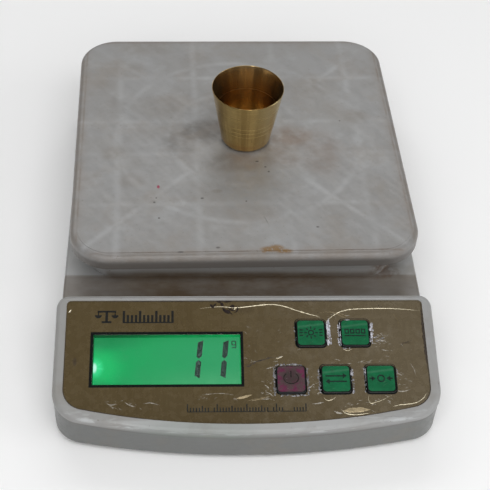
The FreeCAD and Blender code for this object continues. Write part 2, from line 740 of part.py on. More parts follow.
def bottom_housing():
    floor_top = cell("base_bottom") + WALL
    parting = cell("parting_height")
    back = cell("base_back")
    corner = cell("back_corner")

    def ring_prism(label, inset, height):
        inset = as_size(inset)
        return bowed_prism(label, inset, height, back - inset, corner - inset)

    outside = ring_prism("bottom_outside", 0.0, (cell("base_bottom"), parting))
    round_edges(outside, at_level(cell("base_bottom").value), 1.8)
    shell = cut("bottom_shell", outside, [ring_prism("bottom_room", WALL, (floor_top, parting + 5.0))])
    lip_room = (parting - 4.0, parting + 4.0)
    lip_low = cut("lip_low", ring_prism("lip_low_outside", 2.0, (parting - 1.9, parting)),
                  [ring_prism("lip_low_inside", 3.4, lip_room)])
    lip_high = cut("lip_high", ring_prism("lip_high_outside", 2.25, (parting - 0.5, parting + 1.6)),
                   [ring_prism("lip_high_inside", 3.4, lip_room)])

    inside_floor = 3.0
    posts = [cylinder("post", x, y, cell("post_diameter"), (inside_floor, cell("post_top")))
             for x, y, _ in mirrored(HOUSING_SCREW_PLACES)]
    cell_end = cell("cell_length") / 2
    cell_boss = block("cell_boss", (-cell_end - 2.0, -cell_end + cell("spacer_length") + 1.0),
                      (PAN_MIDDLE - 9.0, PAN_MIDDLE + 9.0),
                      (inside_floor, cell("cell_bottom") - cell("base_spacer_thick")), 2.0)
    half = cell("door_width") / 2
    front = cell("door_front")
    rear = front + cell("door_depth")
    tray_wall = 2.0
    tray_height = 18.9
    tray = block("battery_tray", (-half - tray_wall, half + tray_wall), (front - tray_wall, rear + tray_wall),
                 (cell("base_bottom"), tray_height + 1.5), 1.5)
    filled = fuse("bottom_filled", [shell, lip_low, lip_high, cell_boss, tray] + posts)

    screw_places = mirrored(HOUSING_SCREW_PLACES)
    screw_top = cell("post_top") + PAST
    tools = [block("tray_room", (-half, half), (front, rear), (FAR_BELOW, tray_height))]
    tools += [cylinder("screw_hole", x, y, 3.4, (FAR_BELOW, screw_top)) for x, y, _ in screw_places]
    tools += [cylinder("head_room", x, y, 6.4, (FAR_BELOW, 9.0)) for x, y, _ in screw_places]
    tools += [cylinder("cell_hole", -x, PAN_MIDDLE, 4.4, (FAR_BELOW, 10.0)) for x in CELL_HOLES]
    tools += [cylinder("cell_head_room", -x, PAN_MIDDLE, 8.0, (FAR_BELOW, 6.5)) for x in CELL_HOLES]
    tools += [cylinder("foot_bed", x, y, cell("foot_diameter") + 0.4, (FAR_BELOW, cell("foot_height")))
              for _, x, y in FOOT_PLACES]
    tools.append(door_rod("pin_hole", 1.8, half + 1.7))
    tab_room = 2.3
    tools += [block("tab_slot", (half - PAST, half + tray_wall + PAST), (y - tab_room, y + tab_room),
                    (9.8, 12.2))
              for y in battery_rows()]
    keep("bottom_housing", cut("bottom_housing", filled, tools))


def door_axis():
    """Where the door's hinge pins are, in y and z."""
    return cell("door_front") + 1.5, cell("base_bottom") + 1.2


def door_rod(label, diameter, half_length):
    """A round bar on the door's hinge axis."""
    axis_y, axis_z = door_axis()
    body = new_body(label)
    sketch = new_sketch(body, role="YZ_Plane")
    draw_circle(sketch, axis_y, axis_z, diameter)
    pad_across(body, sketch, 2 * half_length)
    return body


def battery_rows():
    """y of the front and the back battery."""
    room = cell("battery_diameter") / 2 + 0.6
    return cell("door_front") + room, cell("door_front") + cell("door_depth") - room


def battery_door():
    gap = 0.3
    half = cell("door_width") / 2 - gap
    axis_y, _ = door_axis()
    rear = cell("door_front") + cell("door_depth") - gap
    base = cell("base_bottom")
    plate = block("door_plate", (-half, half), (axis_y, rear), (base, base + cell("door_thick")))
    barrel = door_rod("door_barrel", 2.4, half)
    pins = door_rod("door_pins", 1.66, half + 1.6)
    groove_pitch = 2.0
    groove_width = 0.8
    groove_top = base + 0.4
    grooves = []
    for i in range(4):
        groove_end = rear - 2.2 - groove_pitch * i
        grooves.append(block("grip_groove", (-10.0, 10.0), (groove_end - groove_width, groove_end),
                             (FAR_BELOW, groove_top)))
    keep("battery_door", cut("battery_door", fuse("door_solid", [plate, barrel, pins]), grooves))


def batteries():
    """Two AA cells side by side; the front one's button points to +X, the back one's to -X."""
    middle_z = 11.3
    button = 1.1
    button_radius = 2.7
    length = cell("battery_length")
    for label, y, sign in zip(("battery_front", "battery_back"), battery_rows(), (1, -1)):
        body = new_body(label)
        sketch = new_sketch(body, role="XZ_Plane", offset=-y)
        radius = cell("battery_diameter") / 2
        start = -sign * length / 2
        finish = sign * length / 2
        tip = finish + sign * button
        draw_polygon(sketch, ((start, middle_z), (start, radius + middle_z), (finish, radius + middle_z),
                              (finish, button_radius + middle_z), (tip, button_radius + middle_z),
                              (tip, middle_z)))
        turn = body.newObject("PartDesign::Revolution", "Revolution")
        turn.Profile = sketch
        turn.ReferenceAxis = (sketch, ["Edge6"])
        turn.Angle = 360
        doc.recompute()
        round_edges(body, lambda edge: abs(edge.Length - 2 * math.pi * radius.value) < 0.1
                    and edge.Curve.TypeId == "Part::GeomCircle", 0.6)
        keep(label, body)


def contact_strip(label, sign, rows, tab):
    """A bent spring-metal strip against one end wall of the battery room.

    Each row gives its y and whether the battery shows this end its button.
    """
    thick = 0.4
    wall_x = sign * cell("door_width") / 2
    inner = wall_x - sign * thick
    x_low, x_high = (inner, wall_x) if sign > 0 else (wall_x, inner)
    strips = [block(label + "_plate", (x_low, x_high), (rows[0][0] - 5.0, rows[-1][0] + 5.0), (7.0, 16.0))]
    for y, button in rows:
        touch = sign * (cell("battery_length") / 2 + (1.15 if button else 0.1))
        leaf = new_body(label + "_leaf")
        sketch = new_sketch(leaf, offset=9.0)
        draw_polygon(sketch, ((inner, y - 3.5), (touch, y - 0.8), (touch, y + 0.8), (inner, y + 3.5)))
        pad(leaf, sketch, 4.6)
        strips.append(leaf)
        if tab:
            strips.append(block(label + "_tab", (x_low, wall_x + 4.0), (y - 2.0, y + 2.0), (10.6, 11.4)))
    return fuse(label, strips)


def battery_contacts():
    front_row, back_row = battery_rows()
    for label, sign, rows in (
        ("battery_contact_bridge", -1, ((front_row, False), (back_row, True))),
        ("battery_contact_positive", 1, ((front_row, True),)),
        ("battery_contact_negative", 1, ((back_row, False),)),
    ):
        keep(label, contact_strip(label, sign, rows, sign > 0))


def feet():
    for label, x, y in FOOT_PLACES:
        foot = cylinder(label, x, y, cell("foot_diameter"), (0.0, cell("foot_height")))
        round_edges(foot, at_level(0.0), 0.8)
        keep(label, foot)


def housing_screws():
    head_low = 6.8
    head_high = 9.0
    tip = 16.5
    screws = [screw("housing_screw", x, y, cell("screw_head"), cell("screw_shank"), head_low, head_high, tip)
              for x, y, _ in mirrored(HOUSING_SCREW_PLACES)]
    keep("housing_screws", group("housing_screws", screws))


# ---------------------------------------------------------------- load cell and platform

def load_cell():
    half = cell("cell_length") / 2
    side = cell("cell_size") / 2
    bottom = cell("cell_bottom")
    middle_z = bottom + side
    width = (PAN_MIDDLE - side, PAN_MIDDLE + side)
    beam = block("beam", (-half, half), width, (bottom, CELL_TOP))
    across = cell("cell_size") + 6.0
    tools = []
    for sign in (-1, 1):
        waist = new_body("waist")
        sketch = new_sketch(waist, role="XZ_Plane", offset=-PAN_MIDDLE)
        draw_circle(sketch, sign * cell("cell_waist_x"), middle_z, cell("cell_waist"))
        pad_across(waist, sketch, across)
        tools.append(waist)
    slot_half = 1.5
    tools.append(block("slot", (-cell("cell_waist_x"), cell("cell_waist_x")),
                       (PAN_MIDDLE - across / 2, PAN_MIDDLE + across / 2),
                       (middle_z - slot_half, middle_z + slot_half)))
    tools += [cylinder("thread", sign * x, PAN_MIDDLE, cell("cell_hole"), (bottom - PAST, CELL_TOP + PAST))
              for x in CELL_HOLES for sign in (1, -1)]
    keep("load_cell", cut("load_cell", beam, tools))

    for label, across_range, height in (
        ("load_cell_base_spacer", (-half, -half + cell("spacer_length")),
         (bottom - cell("base_spacer_thick"), bottom)),
        ("load_cell_live_spacer", (half - cell("spacer_length"), half),
         (CELL_TOP, CELL_TOP + cell("live_spacer_thick"))),
    ):
        sign = -1 if across_range[0].value < 0 else 1
        holes = [cylinder("spacer_hole", sign * x, PAN_MIDDLE, 4.2, (height[0] - PAST, height[1] + PAST))
                 for x in CELL_HOLES]
        keep(label, cut(label, block(label + "_block", across_range, width, height), holes))

    head = 7.0
    shank = 3.9
    base_screws = [screw("base_screw", -x, PAN_MIDDLE, head, shank, 3.7, 6.5, 21.0) for x in CELL_HOLES]
    keep("load_cell_base_screws", group("load_cell_base_screws", base_screws))
    live_head = (CARRIER_BOTTOM - 0.2, RIB_BOTTOM - 0.6)
    live_screws = [screw("live_screw", x, PAN_MIDDLE, head, shank, *live_head, 15.0) for x in CELL_HOLES]
    keep("load_cell_live_screws", group("load_cell_live_screws", live_screws))
    sealant_top = CELL_TOP + 1.3
    sealant = block("sealant", (-12.0, 12.0), width, (CELL_TOP, sealant_top), 2.0)
    round_edges(sealant, at_level(sealant_top.value), 0.8)
    keep("strain_gauge_sealant", sealant)


def carrier():
    """The cross-shaped plate between the load cell's free end and the platform."""
    reach = cell("carrier_reach")
    broad = cell("carrier_half")
    neck_half = 7.0
    height = (CARRIER_BOTTOM, RIB_BOTTOM)
    across = block("carrier_across", (-reach, reach), (PAN_MIDDLE - broad, PAN_MIDDLE + broad), height, 3.0)
    along = block("carrier_along", (-broad, broad), (PAN_MIDDLE - reach, PAN_MIDDLE + reach), height, 3.0)
    neck = block("carrier_neck", (15.0, 40.5), (PAN_MIDDLE - neck_half, PAN_MIDDLE + neck_half),
                 (CELL_TOP + cell("live_spacer_thick"), RIB_BOTTOM), 2.0)
    peg_height = (RIB_BOTTOM - 1.0, PAN_CEILING - 0.3)
    pegs = [cylinder("peg", *peg_place(direction), cell("peg_diameter"), peg_height)
            for direction in PEG_PLACES]
    solid = fuse("carrier_solid", [across, along, neck] + pegs)
    holes = [cylinder("carrier_screw_hole", x, PAN_MIDDLE, 4.2, (CELL_TOP, RIB_BOTTOM + PAST))
             for x in CELL_HOLES]
    holes += [cylinder("carrier_head_room", x, PAN_MIDDLE, 7.6, (CARRIER_BOTTOM - 0.2, RIB_BOTTOM + PAST))
              for x in CELL_HOLES]
    keep("platform_carrier", cut("platform_carrier", solid, holes))


def turn_on_pegs(item):
    """The wide sockets leave play, so the platform sits a little turned about its own middle."""
    twist = cell("pan_twist")
    sine = Size(math.sin(math.radians(twist.value)), f"sin({twist.text} * 1 deg)")
    cosine = Size(math.cos(math.radians(twist.value)), f"cos({twist.text} * 1 deg)")
    turn = FreeCAD.Rotation(Vector(0, 0, 1), twist.value)
    shift_x = PAN_MIDDLE * sine
    shift_y = PAN_MIDDLE * (1.0 - cosine)
    item.Placement = FreeCAD.Placement(Vector(shift_x.value, shift_y.value, 0), turn)
    bind(item, "Placement.Base.x", shift_x)
    bind(item, "Placement.Base.y", shift_y)
    bind(item, "Placement.Rotation.Angle", twist)
    doc.recompute()
    return item


def platform():
    half_width = cell("pan_width") / 2
    half_depth = cell("pan_depth") / 2
    wall = cell("pan_wall")
    top = cell("pan_height")
    field = 0.15

    def pan_block(label, inset, height, corner):
        return block(label, (-half_width + inset, half_width - inset),
                     (PAN_MIDDLE - half_depth + inset, PAN_MIDDLE + half_depth - inset), height, corner)

    outside = pan_block("pan_outside", 0.0, (PAN_BOTTOM, top - field), cell("pan_corner"))
    round_edges(outside, at_level(top.value - field), 2.6)
    raised = pan_block("pan_field", 3.4, (top - 1.0, top), cell("pan_corner") - 3.4)
    inside = pan_block("pan_inside", wall, (PAN_BOTTOM - PAST, PAN_CEILING), cell("pan_corner") - wall)
    tray = cut("pan_tray", fuse("pan_solid", [outside, raised]), [inside])

    rib = cell("rib_width") / 2
    height = (RIB_BOTTOM, PAN_CEILING + 0.5)
    reach_x = half_width - wall / 2
    reach_y = half_depth - wall / 2
    ribs = [block("rib", (x - rib, x + rib), (PAN_MIDDLE - reach_y, PAN_MIDDLE + reach_y), height)
            for x in RIB_PLACES_X]
    ribs += [block("rib", (-reach_x, reach_x), (PAN_MIDDLE + y - rib, PAN_MIDDLE + y + rib), height)
             for y in RIB_PLACES_Y]
    for radius in RIB_RINGS:
        disc = cylinder("rib_disc", 0.0, PAN_MIDDLE, 2 * radius + rib * 2, height)
        middle = cylinder("rib_middle", 0.0, PAN_MIDDLE, 2 * radius - rib * 2, (RIB_BOTTOM - PAST, top))
        ribs.append(cut("rib_ring", disc, [middle]))
    corner_reach = 104.0
    to_corner = math.degrees(math.atan2(reach_y.value, reach_x.value))
    for angle in (to_corner, -to_corner, 180 - to_corner, 180 + to_corner):
        arm = block("diagonal", (RIB_RINGS[-1], corner_reach), (-rib, rib), height)
        turn = FreeCAD.Rotation(Vector(0, 0, 1), angle)
        arm.Placement = FreeCAD.Placement(Vector(0, PAN_MIDDLE.value, 0), turn)
        bind(arm, "Placement.Base.y", PAN_MIDDLE)
        ribs.append(arm)
    ribs += [cylinder("socket", *peg_place(direction), cell("socket_diameter"), height)
             for direction in PEG_PLACES]
    solid = fuse("pan_with_ribs", [tray] + ribs)
    hole_height = (RIB_BOTTOM - PAST, PAN_CEILING)
    sockets = [cylinder("socket_hole", *peg_place(direction), cell("socket_hole"), hole_height)
               for direction in PEG_PLACES]
    keep("platform", turn_on_pegs(cut("platform", solid, sockets)))


# ---------------------------------------------------------------- leads and cup

def leads():
    """Insulated wires from the load cell and the batteries to the underside of the main board."""
    solder_y = -72.0
    solder_z = slope_height(solder_y, BOARD_BOTTOM).value - 0.02
    slope = math.radians(cell("plate_slope").value)
    approach = 5.5
    below_y = solder_y + approach * math.sin(slope)
    below_z = solder_z - approach * math.cos(slope)
    gap_y = -31.2
    low_y = -60.0
    low_z = 12.0
    start_y = PAN_MIDDLE.value - cell("cell_size").value / 2
    start_z = CELL_TOP.value + 0.7
    wires = []
    for i in range(4):
        x = -5.0 + 1.8 * i
        route = ((x, start_y, start_z), (x, gap_y, start_z - 0.8), (x, gap_y, low_z + 1.0), (x, low_y, low_z),
                 (x, below_y, below_z), (x, solder_y, solder_z))
        wires.append(lead("cell_lead", route, 1.1))
    keep("load_cell_leads", group("load_cell_leads", wires))
    tab_end = cell("door_width").value / 2 + 4.0
    tab_z = 11.0
    supply = []
    for row, x in zip(battery_rows(), (38.0, 42.0)):
        route = ((tab_end, row.value, tab_z), (x, row.value, tab_z), (x, low_y, tab_z + 0.5),
                 (x, below_y, below_z), (x, solder_y, solder_z))
        supply.append(lead("supply_lead", route, 1.4))
    keep("battery_leads", group("battery_leads", supply))


def brass_cup():
    """A thin turned cup: straight tapering wall, rounded foot, slightly thickened lip."""
    body = new_body("brass_cup")
    sketch = new_sketch(body, role="XZ_Plane", offset=-cell("cup_y"))
    floor = 0.02 + cell("pan_height")
    x = cell("cup_x")
    rim = cell("cup_rim_diameter") / 2
    foot = cell("cup_base_diameter") / 2
    wall = cell("cup_wall")
    top = cell("pan_height") + cell("cup_height")
    draw_polygon(sketch, ((x, floor), (x + foot, floor), (x + rim, top), (x + rim - wall, top),
                          (x + foot - wall, floor + 1.0), (x, floor + 1.0)))
    turn = body.newObject("PartDesign::Revolution", "Revolution")
    turn.Profile = sketch
    turn.ReferenceAxis = (sketch, ["Edge6"])
    turn.Angle = 360
    doc.recompute()
    foot_length = 2 * math.pi * foot.value
    round_edges(body, lambda edge: abs(edge.Length - foot_length) < 0.1
                and abs(edge.CenterOfMass.z - floor.value) < 0.01, 0.8)
    keep("brass_cup", body)


# ---------------------------------------------------------------- build, check and write

for build_piece in (top_housing, front_film, display_stack, main_board, keys, bottom_housing, battery_door,
                    batteries, battery_contacts, feet, housing_screws, load_cell, carrier, platform, leads,
                    brass_cup):
    build_piece()
doc.recompute()

faults = [item.Label for item in doc.Objects if {"Invalid", "Error"} & set(item.State)]
for label, item in nodes.items():
    if item.Shape.isNull() or not item.Shape.isValid() or not item.Shape.Solids:
        faults.append(label)
if faults:
    raise RuntimeError("failed: " + ", ".join(sorted(set(faults))))

for label, item in nodes.items():
    item.Shape.exportStep(f"parts/{label}.step")
    print(f"{label:28s} solids {len(item.Shape.Solids)}  volume {item.Shape.Volume:10.1f}")
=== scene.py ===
"""Looks of a worn compact electronic scale with a small turned brass cup on its platform.

The scene is in metres, in the CAD frame. Sizes of marks and prints are in millimetres: those on the sloping
front are given as (across, down the slope from the film's upper edge), those on the platform from its middle.
"""

import json
import math
import random

import bmesh
import bpy
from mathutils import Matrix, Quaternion, Vector


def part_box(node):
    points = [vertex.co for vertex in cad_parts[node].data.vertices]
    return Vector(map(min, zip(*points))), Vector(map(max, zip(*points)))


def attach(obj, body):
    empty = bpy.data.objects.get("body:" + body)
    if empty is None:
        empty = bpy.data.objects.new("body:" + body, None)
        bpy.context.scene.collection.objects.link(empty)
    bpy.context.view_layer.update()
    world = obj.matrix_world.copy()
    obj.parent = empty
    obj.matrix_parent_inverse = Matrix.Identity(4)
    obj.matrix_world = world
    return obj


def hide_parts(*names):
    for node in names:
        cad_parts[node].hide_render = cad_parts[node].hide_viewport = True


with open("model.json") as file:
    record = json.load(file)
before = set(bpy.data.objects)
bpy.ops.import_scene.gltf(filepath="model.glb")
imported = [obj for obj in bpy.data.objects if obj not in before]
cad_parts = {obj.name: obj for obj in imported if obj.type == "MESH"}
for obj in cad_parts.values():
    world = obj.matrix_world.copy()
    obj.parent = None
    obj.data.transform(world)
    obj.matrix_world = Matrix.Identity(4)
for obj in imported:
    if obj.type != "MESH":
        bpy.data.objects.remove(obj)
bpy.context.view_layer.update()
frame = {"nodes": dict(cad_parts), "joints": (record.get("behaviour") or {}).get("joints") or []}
MM = 0.001

# ---------------------------------------------------------------- places taken from the frame

nodes = frame["nodes"]
ACROSS = Vector((1, 0, 0))
FILM_NORMAL = -Vector(next(joint["axis"] for joint in frame["joints"] if joint["name"] == "key_mode_press"))
DOWN_SLOPE = FILM_NORMAL.cross(ACROSS)
DOWN_SLOPE *= -1 if DOWN_SLOPE.y > 0 else 1
FILM_THICK = 0.5
film_low, film_high = (Vector(corner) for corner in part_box("front_film"))
FILM_TOP = Vector((0, film_high.y + FILM_THICK * MM * FILM_NORMAL.y, film_high.z))
FILM_HALF = film_high.x / MM
FILM_LENGTH = ((film_high.y - film_low.y) / MM + FILM_THICK * FILM_NORMAL.y) / -DOWN_SLOPE.y
FILM_BOW = 345.0
FILM_CORNER = 9.5
KEY_HALF = 6.3
KEY_PROUD = 0.5
GLASS_DEPTH = 3.0
pan_low, pan_high = (Vector(corner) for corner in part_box("platform"))
PAN_MIDDLE = (pan_low + pan_high) / 2
PAN_TOP = pan_high.z / MM
PAN_TWIST = math.radians(1.1)
PAN_HALF_X = 80.0
PAN_HALF_Y = 81.75
cup_low, cup_high = (Vector(corner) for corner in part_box("brass_cup"))
CUP_MIDDLE = (cup_low + cup_high) / 2
KEYS = ("key_light", "key_count", "key_power", "key_mode", "key_tare")
CONSOLE_BACK = -60.0
PLINTH_FRONT = -35.8
PLINTH_TOP = 33.4
DECK_TOP = 20.2
RIB_LINES_X = (21.0, 58.8)
RIB_LINES_Y = (12.1, 47.4)
RIB_RINGS = (34.6, 60.0)


def on_film(across, down, height=0.0):
    """A point in metres: across, down the slope, and above the film."""
    return FILM_TOP + (ACROSS * across + DOWN_SLOPE * down + FILM_NORMAL * height) * MM


def key_middle(node):
    """Where a key's middle is on the film, across and down."""
    low, high = (Vector(corner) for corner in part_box(node))
    middle = (low + high) / 2 - FILM_TOP
    return middle.x / MM, middle.dot(DOWN_SLOPE) / MM


# ---------------------------------------------------------------- shader helper

class Graph:
    """Adds nodes to one material; the methods return output sockets."""

    def __init__(self, name):
        self.material = bpy.data.materials.new(name)
        self.material.use_nodes = True
        self.tree = self.material.node_tree
        self.shader = self.tree.nodes["Principled BSDF"]

    def put(self, socket, value):
        if isinstance(value, bpy.types.NodeSocket):
            self.tree.links.new(value, socket)
        elif socket.type == "RGBA":
            socket.default_value = (*value, 1.0)
        else:
            socket.default_value = value

    def set(self, **inputs):
        """Sets the shader's own sockets, such as base_color or roughness."""
        for name, value in inputs.items():
            self.put(self.shader.inputs[name.replace("_", " ").title().replace("Ior", "IOR")], value)
        return self

    def node(self, kind, inputs=(), **settings):
        made = self.tree.nodes.new(kind)
        for name, value in settings.items():
            setattr(made, name, value)
        for key, value in inputs:
            self.put(made.inputs[key], value)
        return made

    def vector(self, operation, first, second):
        return self.node("ShaderNodeVectorMath", [(0, first), (1, second)], operation=operation).outputs

    def math(self, operation, first, second=0.0):
        return self.node("ShaderNodeMath", [(0, first), (1, second)], operation=operation).outputs[0]

    def place(self, turn=0.0, centre=(0, 0, 0), stretch=(1, 1, 1)):
        """Position in millimetres, measured from a centre, turned about Z and stretched."""
        coordinates = self.node("ShaderNodeTexCoord").outputs["Object"]
        moved = self.vector("SUBTRACT", coordinates, Vector(centre))[0]
        turned = self.node("ShaderNodeVectorRotate", [("Vector", moved), ("Angle", -turn)],
                           rotation_type="Z_AXIS").outputs[0]
        return self.vector("MULTIPLY", turned, Vector(stretch) / MM)[0]

    def film_place(self, stretch=(1, 1, 1)):
        """Millimetres across the film, down its slope and above it."""
        coordinates = self.node("ShaderNodeTexCoord").outputs["Object"]
        moved = self.vector("SUBTRACT", coordinates, FILM_TOP)[0]
        parts = [self.vector("DOT_PRODUCT", moved, direction * factor / MM)["Value"]
                 for direction, factor in zip((ACROSS, DOWN_SLOPE, FILM_NORMAL), stretch)]
        return self.node("ShaderNodeCombineXYZ", list(enumerate(parts))).outputs[0]

    def split(self, vector):
        return self.node("ShaderNodeSeparateXYZ", [(0, vector)]).outputs

    def noise(self, vector, size, detail=3.0, roughness=0.55, shift=0.0):
        """Noise whose features are about size millimetres across."""
        moved = self.vector("ADD", vector, (shift, shift * 1.7, shift * 0.6))[0]
        inputs = [("Vector", moved), ("Scale", 1.0 / size), ("Detail", detail), ("Roughness", roughness)]
        return self.node("ShaderNodeTexNoise", inputs).outputs[0]

    def ramp(self, value, low, high, to_low=0.0, to_high=1.0):
        """A smooth step from to_low at low to to_high at high."""
        inputs = [("Value", value), ("From Min", low), ("From Max", high), ("To Min", to_low),
                  ("To Max", to_high)]
        return self.node("ShaderNodeMapRange", inputs, interpolation_type="SMOOTHSTEP", clamp=True).outputs[0]

    def fall(self, value, low, high):
        """1 up to low, fading to 0 at high."""
        return self.ramp(value, low, high, 1.0, 0.0)

    def length(self, vector):
        return self.node("ShaderNodeVectorMath", [(0, vector)], operation="LENGTH").outputs["Value"]

    def times(self, *values):
        result = values[0]
        for value in values[1:]:
            result = self.math("MULTIPLY", result, value)
        return result

    def most(self, *values):
        result = values[0]
        for value in values[1:]:
            result = self.math("MAXIMUM", result, value)
        return result

    def mix(self, amount, first, second):
        made = self.node("ShaderNodeMix", data_type="RGBA", clamp_factor=True)
        self.put(made.inputs["Factor"], amount)
        self.put(made.inputs[6], first)
        self.put(made.inputs[7], second)
        return made.outputs[2]

    def layer(self, base, colour, *amounts):
        """base with a colour laid over it, as strongly as the product of the amounts."""
        return self.mix(self.times(*amounts), base, colour)

    def bump(self, height, depth, normal=None):
        """A bump whose height runs from 0 to depth millimetres."""
        inputs = [("Height", height), ("Distance", depth * MM), ("Strength", 1.0)]
        if normal is not None:
            inputs.append(("Normal", normal))
        return self.node("ShaderNodeBump", inputs).outputs[0]

    def near(self, value, centre, width):
        """1 at centre, fading to 0 at width away."""
        away = self.math("ABSOLUTE", self.math("SUBTRACT", value, centre))
        return self.fall(away, 0.0, width)

    def spot(self, vector, x, y, width, depth, amount=1.0):
        """amount at a point of the plane, fading to 0 on an ellipse."""
        moved = self.vector("SUBTRACT", vector, (x, y, 0))[0]
        scaled = self.vector("MULTIPLY", moved, (1 / width, 1 / depth, 0))[0]
        full_to = 0.35
        return self.ramp(self.length(scaled), full_to, 1.0, amount, 0.0)

    def spots(self, vector, places):
        return self.most(*(self.spot(vector, *place) for place in places))


# ---------------------------------------------------------------- plastics

CASE_PLASTIC = (0.3, 0.302, 0.3)
PAN_PLASTIC = (0.232, 0.231, 0.228)
BROWN = (0.085, 0.058, 0.034)
TROUGH_DIRT_AND_SHADE = (0.08, 0.05, 0.024)
FOOT_DIRT = (0.09, 0.06, 0.035)
PLINTH_PAINTED_LIGHT = (0.72, 0.71, 0.69)
CORNER_RUST = (0.11, 0.06, 0.035)
RIM_CREST_PAINTED_LIGHT = (0.5, 0.51, 0.51)
RIM_PAINTED_HIGHLIGHT = (0.55, 0.57, 0.58)
WALL_LEFT_PAINTED_SHADE = (0.126, 0.13, 0.126)
WALL_RIGHT_PAINTED_SHADE = (0.143, 0.147, 0.141)
SEAM_DIRT = (0.08, 0.06, 0.042)
WALL_STAIN = (0.19, 0.165, 0.13)
GREEN_STAIN = (0.17, 0.215, 0.18)
RIB_PALE = (0.4, 0.41, 0.415)
CUP_DIRT_GREY = (0.088, 0.086, 0.078)
CUP_DIRT_BROWN = (0.14, 0.094, 0.062)
SMUDGE = (0.14, 0.115, 0.085)
MIST = (0.2, 0.165, 0.13)
CLEAN_PATCH = (0.4, 0.42, 0.43)
EDGE_TINGE = (0.15, 0.1, 0.062)
STEP_DIRT = (0.13, 0.085, 0.052)
SKIRT_SHADE = (0.092, 0.08, 0.07)
SPECK_BLACK = (0.055, 0.05, 0.045)
RUST_ORANGE = (0.16, 0.082, 0.014)
RED_DOT = (0.25, 0.012, 0.05)


def aged_plastic(name, colour, marks):
    """Old pale plastic with mottling, brown grime and painted shade in its corners and fine scuffs; marks
    adds what sits where.
    """
    g = Graph(name)
    place = g.place()
    mottle = g.ramp(g.noise(place, 24.0, 5.0), 0.35, 0.68)
    faded = tuple(channel * factor for channel, factor in zip(colour, (0.93, 0.91, 0.88)))
    base = g.mix(mottle, colour, faded)
    # painted shade: ambient occlusion darkens corners and crevices brown, standing for shade there as well as
    # grime
    occlusion = g.node("ShaderNodeAmbientOcclusion", [("Distance", 3.0 * MM)], samples=6).outputs["AO"]
    corner = g.fall(occlusion, 0.3, 0.7)
    patchy = g.ramp(g.noise(place, 7.0, 6.0, 0.65, 31.0), 0.32, 0.7)
    base = g.layer(base, BROWN, corner, patchy, 0.5)
    base = marks(g, place, base)
    scuff = g.noise(g.place(0.4, stretch=(0.35, 1, 1)), 1.2, 5.0, 0.7, 7.0)
    swirl = g.noise(g.place(-0.9, stretch=(0.25, 1, 1)), 2.6, 4.0, 0.65, 19.0)
    grain = g.noise(place, 0.5, 3.0, 0.6)
    normal = g.bump(scuff, 0.005, g.bump(grain, 0.008))
    roughness = g.ramp(g.math("ADD", scuff, swirl), 0.75, 1.3, 0.3, 0.5)
    return g.set(base_color=base, roughness=roughness, normal=normal).material


